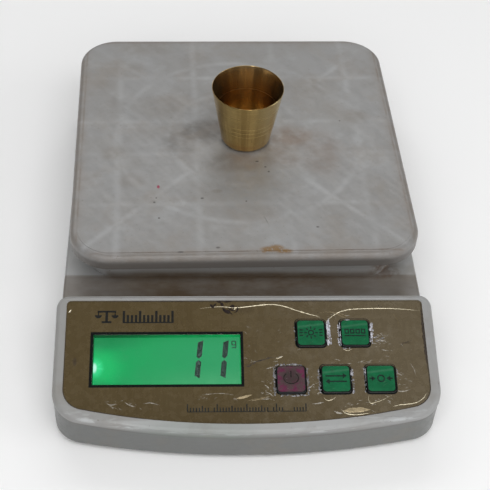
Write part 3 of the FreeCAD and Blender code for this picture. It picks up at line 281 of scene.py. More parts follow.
def case_marks(g, place, base):
    """Dust and painted shade in the trough, dirt on the plinth's foot, painted light on the plinth's upper
    edge, painted highlights on the rim's crest and smeared along its front, and walls painted darker as
    shade, with stains.
    """
    x, y, z = g.split(place)
    wide = g.math("ABSOLUTE", g.math("ADD", x, 4.0))
    streaky = g.noise(g.place(stretch=(0.5, 1, 1)), 9.0, 6.0, 0.62, 3.0)
    patchy = g.ramp(streaky, 0.3, 0.66, 0.7, 1.0)

    # the trough between the platform and the sloping front: dust and painted shade, lighter towards the sides
    trough = g.times(g.ramp(y, CONSOLE_BACK - 0.4, CONSOLE_BACK + 0.4),
                     g.fall(y, PLINTH_FRONT + 0.6, PLINTH_FRONT + 1.8),
                     g.ramp(z, DECK_TOP - 1.7, DECK_TOP - 0.6),
                     g.fall(z, DECK_TOP + 1.3, DECK_TOP + 5.3),
                     g.ramp(wide, 22.0, 76.0, 1.0, 0.62))
    base = g.layer(base, TROUGH_DIRT_AND_SHADE, trough, patchy, 0.97)
    foot = g.times(g.near(y, PLINTH_FRONT - 0.4, 1.2), g.near(z, DECK_TOP, 1.2),
                   g.ramp(wide, 40.0, 76.0, 1.0, 0.3))
    base = g.layer(base, FOOT_DIRT, foot, 0.6)

    # painted light: the plinth's upper front is lightened as if lit, where the platform's overhang shades it
    plinth_painted_light = g.times(g.ramp(y, PLINTH_FRONT - 0.7, PLINTH_FRONT + 0.3),
                          g.ramp(z, PLINTH_TOP - 1.4, PLINTH_TOP - 0.4))
    base = g.layer(base, PLINTH_PAINTED_LIGHT, plinth_painted_light, 0.95)

    # rust-coloured dirt round the plinth's right front corner
    corner = g.times(g.spot(place, 67.0, -33.0, 11.0, 7.0), g.ramp(z, 19.0, 21.0),
                     g.ramp(g.noise(place, 5.0, 3.0, 0.6, 15.0), 0.42, 0.6))
    base = g.layer(base, CORNER_RUST, corner, 0.85)

    # the rim: painted light on its crest, stronger on the left, painted highlight smears along its front and
    # small brown marks
    film = g.film_place()
    _, down, height = g.split(film)
    crest = g.times(g.ramp(height, 0.6, 0.9), g.ramp(down, -3.5, -2.5), g.ramp(x, -80.0, 10.0, 0.55, 0.3))
    base = g.layer(base, RIM_CREST_PAINTED_LIGHT, crest)
    # painted highlights smeared along the rim's front
    front = g.ramp(down, 47.0, 56.0)
    smear = g.ramp(g.noise(g.place(stretch=(0.22, 1, 1)), 2.2, 3.0, 0.55, 21.0), 0.5, 0.62)
    band = g.near(height, 0.1, 1.0)
    base = g.layer(base, RIM_PAINTED_HIGHLIGHT, band, front, smear, 0.6)
    fleck = g.ramp(g.noise(place, 1.6, 3.0, 0.6, 44.0), 0.68, 0.74)
    base = g.layer(base, BROWN, fleck, 0.5)

    # the walls: painted darker as shade, more on the left, with a thin dirt line below the rim and broad
    # faint stains
    console_wall = g.times(g.fall(height, -2.6, -2.2), g.fall(y, CONSOLE_BACK - 1.0, CONSOLE_BACK))
    wall = g.most(console_wall, g.fall(z, 16.0, 18.6))
    wall_painted_shade = g.mix(g.ramp(x, -70.0, 70.0), WALL_LEFT_PAINTED_SHADE, WALL_RIGHT_PAINTED_SHADE)
    base = g.layer(base, wall_painted_shade, wall, 0.9)
    below = g.times(g.near(height, -2.2, 0.45), g.ramp(down, -3.5, -2.5))
    base = g.layer(base, SEAM_DIRT, below, patchy, 0.75)
    stain = g.ramp(g.noise(g.place(stretch=(0.6, 0.6, 1.0)), 12.0, 4.0, 0.6, 61.0), 0.5, 0.72)
    base = g.layer(base, WALL_STAIN, stain, 0.3)
    green = g.times(g.spot(place, -22.0, -121.0, 34.0, 9.0), g.ramp(z, 14.0, 16.0), 0.3)
    return g.mix(green, base, GREEN_STAIN)


# spots on the platform: across, back, half width, half depth and strength
RUST = ((9.5, -77.4, 5.0, 2.3, 1.0), (13.0, -76.8, 4.8, 2.9, 1.0), (16.5, -78.6, 5.0, 1.7, 1.0),
        (7.4, -78.9, 1.6, 0.8, 0.8))
SPECKS = ((-19.3, -43.8, 1.1, 0.8), (8.1, -18.3, 1.2, 0.7), (11.9, -22.3, 0.8, 0.7),
          (13.3, -25.7, 0.7, 0.8), (-13.2, -76.0, 1.3, 0.8), (-39.5, -56.7, 0.7, 0.7),
          (-41.6, -46.2, 0.8, 0.7), (-40.7, -43.3, 0.6, 0.6), (33.1, -63.7, 1.0, 0.7),
          (1.3, -46.1, 0.6, 0.6), (52.0, 12.0, 0.6, 0.6), (-30.0, -78.4, 1.8, 0.5))
HALO = ((-19.0, 4.0, 19.0, 12.0, 1.0), (26.0, 0.0, 17.0, 11.0, 0.9), (-1.0, -18.0, 24.0, 11.0, 0.62),
        (-10.0, 8.0, 13.0, 10.0, 1.0), (-29.0, -3.0, 12.0, 16.0, 0.7), (40.0, -12.0, 14.0, 24.0, 0.5),
        (20.0, -14.0, 18.0, 12.0, 0.6), (4.0, 0.0, 18.0, 13.0, 0.75), (-2.0, -33.0, 20.0, 8.0, 0.3))
SMUDGES = ((-61.0, -11.5, 8.5, 7.0, 0.9), (60.3, 15.6, 10.0, 7.0, 1.0), (64.0, -35.0, 8.0, 10.0, 0.7),
           (-12.2, -39.0, 3.4, 2.0, 0.9), (-45.0, 75.0, 26.0, 10.0, 0.8), (-38.0, 24.0, 18.0, 12.0, 0.7),
           (-52.7, -31.5, 9.0, 8.0, 0.7), (2.0, -54.0, 18.0, 9.0, 0.6), (38.0, 40.0, 22.0, 14.0, 0.5),
           (-20.0, 62.0, 14.0, 14.0, 0.6), (-66.0, 30.0, 12.0, 30.0, 0.5), (-58.0, 54.0, 16.0, 12.0, 0.7))


def pan_marks(g, _, base):
    """The platform: ribs showing through, a grimy ring round the cup, specks, rust and a brown edge."""
    local = g.place(PAN_TWIST, (PAN_MIDDLE.x, PAN_MIDDLE.y, 0))
    x, y, z = g.split(local)
    top = g.ramp(z, PAN_TOP - 1.6, PAN_TOP - 0.5)
    far_x = g.math("ABSOLUTE", x)
    far_y = g.math("ABSOLUTE", y)
    flat = g.vector("MULTIPLY", local, (1, 1, 0))[0]
    radius = g.length(flat)
    lines = [g.near(far_x, at, 3.0) for at in RIB_LINES_X]
    lines += [g.near(far_y, at, 2.8) for at in RIB_LINES_Y]
    lines += [g.near(radius, at, 2.8) for at in RIB_RINGS]
    diagonal = g.near(g.math("SUBTRACT", far_y, g.math("MULTIPLY", far_x, 1.023)), 0.0, 3.6)
    lines.append(g.times(diagonal, g.ramp(radius, 33.0, 36.0)))
    fade = g.ramp(g.noise(local, 30.0, 3.0, 0.5, 11.0), 0.34, 0.62, 0.1, 1.0)
    base = g.layer(base, RIB_PALE, g.most(*lines), top, fade, 0.27)

    cloud = g.ramp(g.noise(local, 9.0, 6.0, 0.65, 5.0), 0.32, 0.62, 0.35, 1.0)
    beside_cup = g.spot(local, -14.0, 5.0, 14.0, 12.0, 1.0)
    halo = g.most(g.times(g.spots(local, HALO), cloud), beside_cup)
    drift = g.math("MULTIPLY", g.noise(local, 9.0, 4.0, 0.6, 17.0), 30.0)
    brown = g.ramp(g.math("ADD", x, drift), -2.0, 22.0, 0.15, 1.0)
    dirt = g.mix(brown, CUP_DIRT_GREY, CUP_DIRT_BROWN)
    base = g.layer(base, dirt, halo, top, 0.85)
    base = g.layer(base, SMUDGE, g.spots(local, SMUDGES), top, cloud, 0.42)
    mist = g.ramp(g.noise(local, 20.0, 6.0, 0.62, 71.0), 0.48, 0.7)
    base = g.layer(base, MIST, mist, top, 0.3)
    pale = g.ramp(g.noise(local, 16.0, 5.0, 0.6, 91.0), 0.5, 0.7)
    base = g.layer(base, CLEAN_PATCH, pale, top, 0.16)

    # brown tinge along the rounded edges and in the step round the raised field
    edge = g.math("MINIMUM", g.math("SUBTRACT", PAN_HALF_X, far_x), g.math("SUBTRACT", PAN_HALF_Y, far_y))
    tinge = g.times(g.fall(edge, 0.5, 8.0), g.ramp(z, PAN_TOP - 4.5, PAN_TOP - 2.0), cloud)
    base = g.layer(base, EDGE_TINGE, tinge, 0.36)
    patch = g.ramp(g.noise(local, 12.0, 3.0, 0.6, 9.0), 0.36, 0.6, 0.15, 1.0)
    step = g.times(g.near(edge, 3.3, 0.8), top, patch)
    base = g.layer(base, STEP_DIRT, step, 0.42)
    # painted shade, with some brownish grime, darkens the skirt below the platform's top
    skirt = g.fall(z, PAN_TOP - 4.4, PAN_TOP - 1.8)
    base = g.layer(base, SKIRT_SHADE, skirt, 0.8)

    scratch = g.near(g.math("ADD", x, g.math("MULTIPLY", y, 0.33)), -9.7, 0.45)
    scratch = g.times(scratch, g.near(y, -59.0, 4.0), 0.6)
    specks = g.spots(local, SPECKS)
    base = g.layer(base, SPECK_BLACK, g.most(specks, scratch), top, 0.9)
    dots = g.times(g.ramp(g.noise(local, 1.1, 2.0, 0.5, 27.0), 0.69, 0.73), top)
    base = g.layer(base, BROWN, dots, 0.4)
    broken = g.ramp(g.noise(local, 1.6, 4.0, 0.7, 3.0), 0.3, 0.5)
    rust = g.times(g.spots(local, RUST), broken, top)
    base = g.layer(base, RUST_ORANGE, rust)
    red = g.times(g.spot(local, -39.7, -35.7, 0.95, 1.6), top)
    return g.mix(red, base, RED_DOT)


def plain(name, colour, roughness=0.5, metallic=0.0, size=3.0, depth=0.01, shade=0.8, **extra):
    """A finish with a little variation in tone and a fine surface grain."""
    g = Graph(name)
    place = g.place()
    tone = g.ramp(g.noise(place, size, 4.0), 0.35, 0.7)
    base = g.mix(tone, colour, tuple(channel * shade for channel in colour))
    wear = g.noise(place, size / 4, 3.0, 0.6, 5.0)
    rough = g.ramp(wear, 0.3, 0.7, roughness * 0.8, min(1.0, roughness * 1.2))
    normal = g.bump(wear, depth)
    return g.set(base_color=base, roughness=rough, metallic=metallic, normal=normal, **extra).material


# ---------------------------------------------------------------- film, keys, display and brass

def film_material():
    """Glossy gold-brown printed film: fine brushed streaks, hazy wear and painted shade in its lower right
    corner.
    """
    g = Graph("gold_film")
    place = g.film_place()
    x, down, _ = g.split(place)
    streak = g.noise(g.film_place((1.0, 0.03, 1.0)), 0.55, 3.0, 0.7)
    broad = g.noise(place, 18.0, 4.0, 0.6, 8.0)
    base = g.mix(g.ramp(streak, 0.3, 0.7), (0.084, 0.056, 0.017), (0.1, 0.069, 0.023))
    base = g.mix(g.ramp(broad, 0.38, 0.66, 0.0, 0.25), base, (0.128, 0.094, 0.04))
    right = g.times(g.ramp(x, -25.0, 74.0), 0.5)
    base = g.layer(base, (0.165, 0.135, 0.088), right)
    dull = g.times(g.ramp(down, 34.0, 57.0), g.ramp(x, 10.0, 50.0, 0.4, 0.1))
    base = g.layer(base, (0.07, 0.046, 0.014), dull)
    worn = g.times(g.ramp(x, -8.0, 16.0), g.ramp(g.noise(place, 6.0, 6.0, 0.7, 13.0), 0.46, 0.7))
    base = g.layer(base, (0.24, 0.205, 0.15), worn, 0.2)
    fleck = g.ramp(g.noise(place, 1.1, 2.0, 0.5, 33.0), 0.69, 0.74)
    base = g.layer(base, (0.04, 0.028, 0.015), fleck, 0.6)
    # painted shade along the film's right edge, low down, where the rim shades it
    corner = g.times(g.ramp(x, FILM_HALF - 3.2, FILM_HALF - 0.6), g.ramp(down, 40.0, 52.0))
    base = g.layer(base, (0.02, 0.014, 0.009), corner, 0.7)
    stain = g.spots(place, ((-73.2, 28.5, 1.1, 2.6, 0.8), (-1.0, 4.0, 6.0, 3.0, 0.3),
                            (69.0, 20.5, 3.4, 0.5, 0.7)))
    base = g.layer(base, (0.05, 0.033, 0.016), stain)
    wave = g.noise(place, 7.0, 3.0, 0.55, 2.0)
    dimple = g.noise(place, 1.3, 3.0, 0.6, 41.0)
    normal = g.bump(wave, 0.12, g.bump(dimple, 0.012))
    rough = g.ramp(g.noise(place, 3.0, 4.0, 0.6, 19.0), 0.35, 0.7, 0.2, 0.36)
    return g.set(base_color=base, roughness=rough, metallic=0.3, normal=normal, coat_weight=0.4,
                 coat_roughness=0.08).material


def key_material(node, colour, worn):
    """A printed key: coloured top, black edge, scratches and a painted highlight along an embossed line near
    its top; worn is how much brown rubs through.
    """
    g = Graph(node + "_print")
    x, down = key_middle(node)
    place = g.film_place()
    local = g.vector("SUBTRACT", place, (x, down, 0))[0]
    print_half = 5.75
    radius = 1.5
    far = g.node("ShaderNodeVectorMath", [(0, local)], operation="ABSOLUTE").outputs[0]
    past = g.vector("SUBTRACT", g.vector("MULTIPLY", far, (1, 1, 0))[0],
                    (print_half - radius, print_half - radius, 0))[0]
    past = g.node("ShaderNodeVectorMath", [(0, past), (1, (0, 0, 0))], operation="MAXIMUM").outputs[0]
    reach = g.length(past)
    edge = g.ramp(reach, radius - 0.1, radius + 0.1)
    tone = g.ramp(g.noise(local, 3.0, 4.0, 0.6, x), 0.3, 0.7)
    base = g.mix(tone, colour, tuple(channel * 0.75 for channel in colour))
    across, along, _ = g.split(local)
    # painted highlight: a lighter line where the embossed key top catches the light
    slanted = g.math("ADD", along, g.math("MULTIPLY", across, 0.12))
    band = g.near(slanted, -3.4, 0.9)
    base = g.layer(base, (0.25, 0.42, 0.32), band, 0.09 * (1 - worn))
    rub = g.ramp(g.noise(local, 2.6, 5.0, 0.65, x + 4), 0.62 - 0.2 * worn, 0.74 - 0.18 * worn)
    base = g.layer(base, (0.06, 0.045, 0.04), rub, 0.25 + 0.5 * worn)
    centre = g.times(g.spot(local, 0.0, -0.8, 5.4, 4.6), worn)
    base = g.layer(base, (0.034, 0.025, 0.022), centre, 0.85)
    turn = g.node("ShaderNodeVectorRotate", [("Vector", local), ("Angle", 0.5)],
                  rotation_type="Z_AXIS").outputs[0]
    stretched = g.vector("MULTIPLY", turn, (0.18, 1, 1))[0]
    scratch = g.ramp(g.noise(stretched, 0.55, 3.0, 0.7, x + 9), 0.64, 0.7)
    base = g.layer(base, (0.24, 0.23, 0.215), scratch, 0.14 + 0.26 * worn)
    base = g.layer(base, (0.003, 0.004, 0.004), edge)
    pillow = g.fall(reach, 0.0, radius)
    wave = g.noise(local, 3.5, 3.0, 0.6, x)
    normal = g.bump(pillow, 0.05, g.bump(wave, 0.16))
    return g.set(base_color=base, roughness=0.24 + 0.16 * worn, specular_ior_level=0.3,
                 normal=normal).material


def display_glow():
    """Green backlight that is strongest beside its lamp at the left end and shaded under the upper edge."""
    g = Graph("display_glow")
    place = g.film_place()
    x, down, _ = g.split(place)
    across = g.ramp(x, -66.0, -4.0)
    colour = g.mix(across, (0.007, 0.355, 0.103), (0.034, 0.32, 0.132))
    low = g.times(g.ramp(down, 29.0, 38.5), g.ramp(x, -55.0, -10.0), 0.6)
    colour = g.mix(low, colour, (0.1, 0.42, 0.2))
    upper = g.times(g.fall(down, 15.5, 22.0), g.ramp(x, -66.0, -20.0, 1.0, 0.3), 0.6)
    colour = g.mix(upper, colour, (0.004, 0.24, 0.055))
    corner = g.spots(place, ((-65.0, 38.5, 8.0, 6.0, 0.4), (-66.0, 15.5, 30.0, 10.0, 0.42)))
    colour = g.mix(corner, colour, (0.012, 0.13, 0.06))
    cloud = g.ramp(g.noise(place, 7.0, 5.0, 0.65, 6.0), 0.35, 0.7, 0.0, 0.35)
    colour = g.mix(cloud, colour, (0.03, 0.3, 0.115))
    speck = g.ramp(g.noise(place, 0.9, 2.0, 0.5, 51.0), 0.7, 0.74, 0.0, 0.4)
    colour = g.mix(speck, colour, (0.05, 0.2, 0.1))
    bright_x = -64.9
    bright_down = 30.2
    halo = g.spot(place, bright_x, bright_down, 15.0, 11.0, 0.55)
    colour = g.mix(halo, colour, (0.016, 0.6, 0.17))
    glow = g.spot(place, bright_x, bright_down, 4.6, 5.6, 0.75)
    colour = g.mix(glow, colour, (0.05, 0.78, 0.32))
    for lean in (0.9, -0.15):
        rise = g.math("ADD", g.math("SUBTRACT", down, bright_down),
                      g.math("MULTIPLY", g.math("SUBTRACT", x, bright_x), lean))
        reach = g.spot(place, bright_x, bright_down, 5.0, 5.0)
        ray = g.times(g.near(rise, 0.0, 0.55), reach, 0.3)
        colour = g.mix(ray, colour, (0.16, 0.95, 0.5))
    core = g.spot(place, bright_x - 0.3, bright_down, 1.5, 3.0)
    colour = g.mix(core, colour, (0.55, 1.0, 0.85))
    return g.set(base_color=(0.005, 0.03, 0.012), roughness=0.3, specular_ior_level=0.15,
                 emission_color=colour, emission_strength=0.95).material


def liner_shade_and_glow_material():
    """The walls of the display opening in painted shade, dark, with a painted green glow from the display's
    light, stronger towards the right.
    """
    g = Graph("display_liner_shade_and_glow")
    x, _, _ = g.split(g.film_place())
    cloud = g.ramp(g.noise(g.place(), 6.0, 3.0), 0.35, 0.7, 0.0, 0.4)
    # painted light: the emitted green stands for the display's light falling on the walls
    lit = g.mix(g.ramp(x, -66.0, -6.0), (0.001, 0.07, 0.018), (0.003, 0.33, 0.085))
    lit = g.mix(cloud, lit, (0.002, 0.09, 0.028))
    return g.set(base_color=(0.003, 0.006, 0.004), roughness=0.6, specular_ior_level=0.05,
                 emission_color=lit, emission_strength=1.0).material


def brass_material():
    """Turned brass: fine lathe rings, a few dark spots, warmer tarnish low down, painted reflection bands
    round it, painted shade on its left, a painted highlight on its right and darker painted shade inside,
    warmer towards the floor.
    """
    g = Graph("turned_brass")
    place = g.place(centre=(CUP_MIDDLE.x, CUP_MIDDLE.y, cup_low.z))
    x, y, z = g.split(place)
    flat = g.vector("MULTIPLY", place, (1, 1, 0))[0]
    radius = g.length(flat)
    wide = g.math("MULTIPLY", radius, 3.0)
    lathe = g.node("ShaderNodeCombineXYZ", [(0, wide), (2, z)]).outputs[0]
    rings = g.noise(lathe, 0.5, 3.0, 0.7)
    radii = g.node("ShaderNodeCombineXYZ", [(0, radius), (1, radius), (2, 1.0)]).outputs[0]
    around = g.vector("DIVIDE", flat, radii)[0]
    # painted reflection: lighter and darker bands of brass round the cup stand for reflections of its
    # surroundings
    panel = g.ramp(g.noise(around, 0.3, 3.0, 0.6, 3.0), 0.38, 0.62)
    base = g.mix(panel, (0.76, 0.55, 0.22), (0.52, 0.36, 0.135))
    tone = g.ramp(g.noise(place, 5.0, 4.0, 0.6, 12.0), 0.4, 0.7, 0.0, 0.4)
    base = g.layer(base, (0.5, 0.34, 0.12), tone)
    low = g.near(z, 3.5, 2.6)
    base = g.layer(base, (0.52, 0.28, 0.1), low, 0.5)
    # painted shade on the cup's left side and a painted highlight on its right
    base = g.layer(base, (0.42, 0.3, 0.115), g.ramp(x, -3.0, -15.0), 0.35)
    base = g.layer(base, (1.0, 0.84, 0.46), g.ramp(x, 1.0, 13.0), 0.65)
    wall = g.math("ADD", g.math("MULTIPLY", z, 0.173), 11.6)
    inside = g.times(g.fall(g.math("SUBTRACT", radius, wall), -0.12, -0.02), g.ramp(z, 0.6, 0.9))
    # painted shade inside the cup: darker brass, warmer towards its floor
    inside_shade = g.mix(panel, (0.58, 0.46, 0.29), (0.42, 0.32, 0.19))
    bottom = g.fall(z, 12.5, 14.8)
    inside_shade = g.mix(bottom, inside_shade, (0.5, 0.34, 0.15))
    base = g.layer(base, inside_shade, inside)
    lip = g.times(g.ramp(z, 30.9, 31.2), g.ramp(g.noise(around, 0.3, 2.0, 0.5, 21.0), 0.64, 0.5), 0.85)
    base = g.layer(base, (0.2, 0.13, 0.05), lip)
    upright = g.node("ShaderNodeCombineXYZ", [(0, x), (1, z)]).outputs[0]
    dark = g.times(g.ramp(y, 0.0, 1.0),
                   g.spots(upright, ((-3.4, 8.1, 0.9, 0.7, 1.0), (0.9, 6.3, 1.1, 0.55, 1.0),
                                     (1.8, 5.8, 0.6, 0.6, 0.9), (-0.8, 7.0, 0.5, 0.5, 0.8))))
    base = g.layer(base, (0.015, 0.01, 0.006), dark, inside)
    rough = g.ramp(rings, 0.3, 0.7, 0.16, 0.28)
    normal = g.bump(rings, 0.005, g.bump(g.noise(around, 0.2, 3.0, 0.6, 8.0), 0.05))
    return g.set(base_color=base, metallic=1.0, roughness=rough, normal=normal).material


case_plastic = aged_plastic("worn_case_plastic", CASE_PLASTIC, case_marks)
pan_plastic = aged_plastic("worn_platform_plastic", PAN_PLASTIC, pan_marks)
dark_plastic = plain("dark_plastic", (0.03, 0.03, 0.032), 0.4)
steel = plain("zinc_steel", (0.55, 0.55, 0.56), 0.32, 1.0)
spring_steel = plain("nickel_spring", (0.6, 0.58, 0.54), 0.25, 1.0)
rubber = plain("foot_rubber", (0.05, 0.05, 0.052), 0.8, size=1.5, depth=0.03)
aluminium = plain("milled_aluminium", (0.72, 0.72, 0.74), 0.35, 1.0)
print_black = plain("black_print", (0.003, 0.004, 0.004), 0.3, specular_ior_level=0.2)
title_ink = plain("title_ink", (0.009, 0.009, 0.008), 0.22, size=1.5, shade=0.5)
faded_ink = plain("faded_ink", (0.019, 0.018, 0.014), 0.25, size=1.2, shade=0.4)
key_ink = plain("key_ink", (0.004, 0.013, 0.009), 0.35, size=0.8, shade=2.4, specular_ior_level=0.25)
worn_ink = plain("worn_ink", (0.01, 0.007, 0.006), 0.45, size=0.8, shade=2.6, specular_ior_level=0.2)
segment_ink = plain("segment_ink", (0.034, 0.062, 0.055), 0.5, size=2.0)
# painted highlights: light gold on the creases, folds and glare patches, where they catch the light
crease_painted_highlight = plain("crease_painted_highlight", (0.95, 0.85, 0.62), 0.2, 0.6, size=1.6, shade=0.5)
soft_fold_painted_highlight = plain("soft_fold_painted_highlight", (0.22, 0.165, 0.085), 0.3, 0.4, size=1.2, shade=0.6)
glare_gold = plain("painted_glare_gold", (0.5, 0.4, 0.24), 0.3, 0.4, size=1.5, shade=0.6)
bare_foil = plain("bare_foil", (0.62, 0.62, 0.68), 0.35, 0.45, size=1.2, shade=0.35)
dull_foil = plain("dull_foil", (0.26, 0.255, 0.27), 0.3, 0.5, size=0.8, shade=0.35)
scratch_white = plain("scratched_film", (0.4, 0.37, 0.32), 0.4, 0.2, size=0.8, shade=0.5)
# dark brown: dirt in the film's cracks, and dirt with painted shade along its edge
grime_and_painted_shade = plain("grime_and_painted_shade", (0.035, 0.022, 0.012), 0.6, size=2.0, shade=0.5, depth=0.05)
burnt = plain("burnt_mark", (0.022, 0.013, 0.011), 0.6, size=0.8, shade=0.4, depth=0.03,
              specular_ior_level=0.2)
brass = brass_material()
key_green = (0.005, 0.125, 0.046)
key_magenta = (0.115, 0.013, 0.05)

FINISHES = {
    case_plastic: ("top_housing", "bottom_housing", "battery_door", "platform_carrier"),
    pan_plastic: ("platform",),
    film_material(): ("front_film",),
    display_glow(): ("lcd_glass",),
    plain("light_panel", (0.2, 0.8, 0.4), 0.5): ("backlight_panel", "backlight_led"),
    dark_plastic: ("display_holder", "chip_cover", "tact_switches", "lcd_connector_strip"),
    plain("circuit_board", (0.02, 0.14, 0.06), 0.35, coat_weight=0.4): ("main_board",),
    steel: ("board_screws", "housing_screws", "load_cell_base_screws", "load_cell_live_screws"),
    plain("battery_wrap", (0.05, 0.055, 0.07), 0.3, 0.4): ("battery_front", "battery_back"),
    spring_steel: ("battery_contact_bridge", "battery_contact_positive", "battery_contact_negative"),
    rubber: ("foot_front_left", "foot_front_right", "foot_back_left", "foot_back_right"),
    aluminium: ("load_cell", "load_cell_base_spacer", "load_cell_live_spacer"),
    plain("white_sealant", (0.7, 0.7, 0.66), 0.6): ("strain_gauge_sealant",),
    plain("lead_insulation", (0.4, 0.03, 0.02), 0.45): ("load_cell_leads", "battery_leads"),
    brass: ("brass_cup",),
}


def dress(node, finish):
    """Gives a CAD node its only material."""
    nodes[node].data.materials.clear()
    nodes[node].data.materials.append(finish)


for finish, dressed in FINISHES.items():
    for node in dressed:
        dress(node, finish)
for node in KEYS:
    power = node == "key_power"
    dress(node, key_material(node, key_magenta if power else key_green, 1.0 if power else 0.0))
    dress(node + "_plunger", dark_plastic)

clear = Graph("clear_window")
clear.set(base_color=(0.93, 1.0, 0.96), roughness=0.04, transmission_weight=1.0, ior=1.2)
dress("display_window", clear.material)


# ---------------------------------------------------------------- mesh helpers

def add_piece(name, mesh_data, material, body, smooth=False):
    """Turns a finished bmesh into a piece that rides on a body."""
    bmesh.ops.recalc_face_normals(mesh_data, faces=mesh_data.faces)
    mesh = bpy.data.meshes.new(name)
    mesh_data.to_mesh(mesh)
    mesh_data.free()
    mesh.materials.append(material)
    if smooth:
        mesh.shade_smooth()
    piece = bpy.data.objects.new(name, mesh)
    bpy.context.collection.objects.link(piece)
    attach(piece, body)
    return piece


def add_prism(mesh_data, outline, low, high):
    """A closed slab on the film between two heights."""
    bottom = [mesh_data.verts.new(on_film(x, down, low)) for x, down in outline]
    top = [mesh_data.verts.new(on_film(x, down, high)) for x, down in outline]
    mesh_data.faces.new(top)
    mesh_data.faces.new(bottom[::-1])
    for i in range(len(outline)):
        j = (i + 1) % len(outline)
        mesh_data.faces.new((bottom[i], bottom[j], top[j], top[i]))


def add_frame(mesh_data, outer, inner, low, high):
    """A closed ring on the film between two outlines that have the same number of points."""
    rings = [[mesh_data.verts.new(on_film(x, down, height)) for x, down in outline]
             for outline, height in ((outer, low), (outer, high), (inner, high), (inner, low))]
    count = len(outer)
    for first, second in zip(rings, rings[1:] + rings[:1]):
        for i in range(count):
            j = (i + 1) % count
            mesh_data.faces.new((first[i], first[j], second[j], second[i]))


def add_pyramid(mesh_data, outline, apex, crest, low=-0.02):
    """A low closed pyramid, whose slanted faces catch the light."""
    base = [mesh_data.verts.new(on_film(x, down, low)) for x, down in outline]
    peak = mesh_data.verts.new(on_film(*apex, crest))
    mesh_data.faces.new(base[::-1])
    for i in range(len(base)):
        mesh_data.faces.new((base[i], base[(i + 1) % len(base)], peak))


def smooth_line(points, steps=8):
    """A Catmull-Rom curve through given points."""
    points = [Vector(point) for point in points]
    padded = [2 * points[0] - points[1]] + points + [2 * points[-1] - points[-2]]
    line = []
    for a, b, c, d in zip(padded, padded[1:], padded[2:], padded[3:]):
        for i in range(steps):
            t = i / steps
            line.append(0.5 * (2 * b + (c - a) * t + (2 * a - 5 * b + 4 * c - d) * t * t
                               + (3 * b - a - 3 * c + d) * t ** 3))
    return line + [points[-1]]


def add_ridge(mesh_data, points, half_width, crest, base=-0.03, uneven=0.3, steps=8):
    """A rounded ridge that follows a line on the film and tapers at both ends."""
    line = smooth_line(points, steps)
    profile = ((-1.0, 0.0), (-0.55, 0.75), (0.0, 1.0), (0.55, 0.75), (1.0, 0.0))
    sections = []
    for i, point in enumerate(line):
        before = line[max(i - 1, 0)]
        after = line[min(i + 1, len(line) - 1)]
        side = (after - before).normalized()
        side = Vector((-side.y, side.x))
        taper = min(1.0, 0.12 + 3.2 * min(i, len(line) - 1 - i) / len(line))
        width = half_width * taper * (1 + uneven * rng.uniform(-1, 1))
        height = crest * taper * (1 + uneven * rng.uniform(-1, 1))
        section = [point + side * width * across for across, _ in profile]
        sections.append([mesh_data.verts.new(on_film(place.x, place.y, base + (height - base) * up))
                         for place, (_, up) in zip(section, profile)])
    for first, second in zip(sections, sections[1:]):
        for i in range(len(profile)):
            j = (i + 1) % len(profile)
            mesh_data.faces.new((first[i], first[j], second[j], second[i]))
    mesh_data.faces.new(sections[0])
    mesh_data.faces.new(sections[-1][::-1])


def rounded_box(x, down, half_x, half_down, radius, steps=5):
    """The outline of a rectangle with rounded corners."""
    outline = []
    for quarter, (sign_x, sign_down) in enumerate(((1, 1), (-1, 1), (-1, -1), (1, -1))):
        for i in range(steps + 1):
            angle = (quarter + i / steps) * math.pi / 2
            outline.append((x + sign_x * (half_x - radius) + radius * math.cos(angle),
                            down + sign_down * (half_down - radius) + radius * math.sin(angle)))
    return outline


def box(x, down, half_x, half_down):
    return [(x - half_x, down - half_down), (x + half_x, down - half_down),
            (x + half_x, down + half_down), (x - half_x, down + half_down)]


def circle(x, down, radius, steps=24):
    return [(x + radius * math.cos(2 * math.pi * i / steps),
             down + radius * math.sin(2 * math.pi * i / steps)) for i in range(steps)]


# ---------------------------------------------------------------- display

WINDOW = ((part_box("display_window")[0][0] / MM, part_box("display_window")[1][0] / MM), (14.8, 40.2))
WINDOW_X = sum(WINDOW[0]) / 2
WINDOW_DOWN = sum(WINDOW[1]) / 2
WINDOW_HALF_X = (WINDOW[0][1] - WINDOW[0][0]) / 2
WINDOW_HALF_DOWN = (WINDOW[1][1] - WINDOW[1][0]) / 2


def window_frame():
    """The printed black border on the window, and a dark lining for the walls behind it that paints their
    shade and the green light on them.
    """
    printed = bmesh.new()
    add_frame(printed, box(WINDOW_X, WINDOW_DOWN, WINDOW_HALF_X, WINDOW_HALF_DOWN),
              box(WINDOW_X, WINDOW_DOWN, WINDOW_HALF_X - 1.15, WINDOW_HALF_DOWN - 1.15), 0.0, 0.05)
    add_piece("window_border", printed, print_black, "housing")
    walls = bmesh.new()
    hole_x = WINDOW_HALF_X - 1.22
    hole_down = WINDOW_HALF_DOWN - 1.22
    add_frame(walls, box(WINDOW_X, WINDOW_DOWN, hole_x, hole_down),
              box(WINDOW_X, WINDOW_DOWN, hole_x - 0.2, hole_down - 0.2),
              -GLASS_DEPTH + 0.03, -FILM_THICK - 0.02)
    add_piece("window_liner_shade_and_glow", walls, liner_shade_and_glow_material(), "housing")


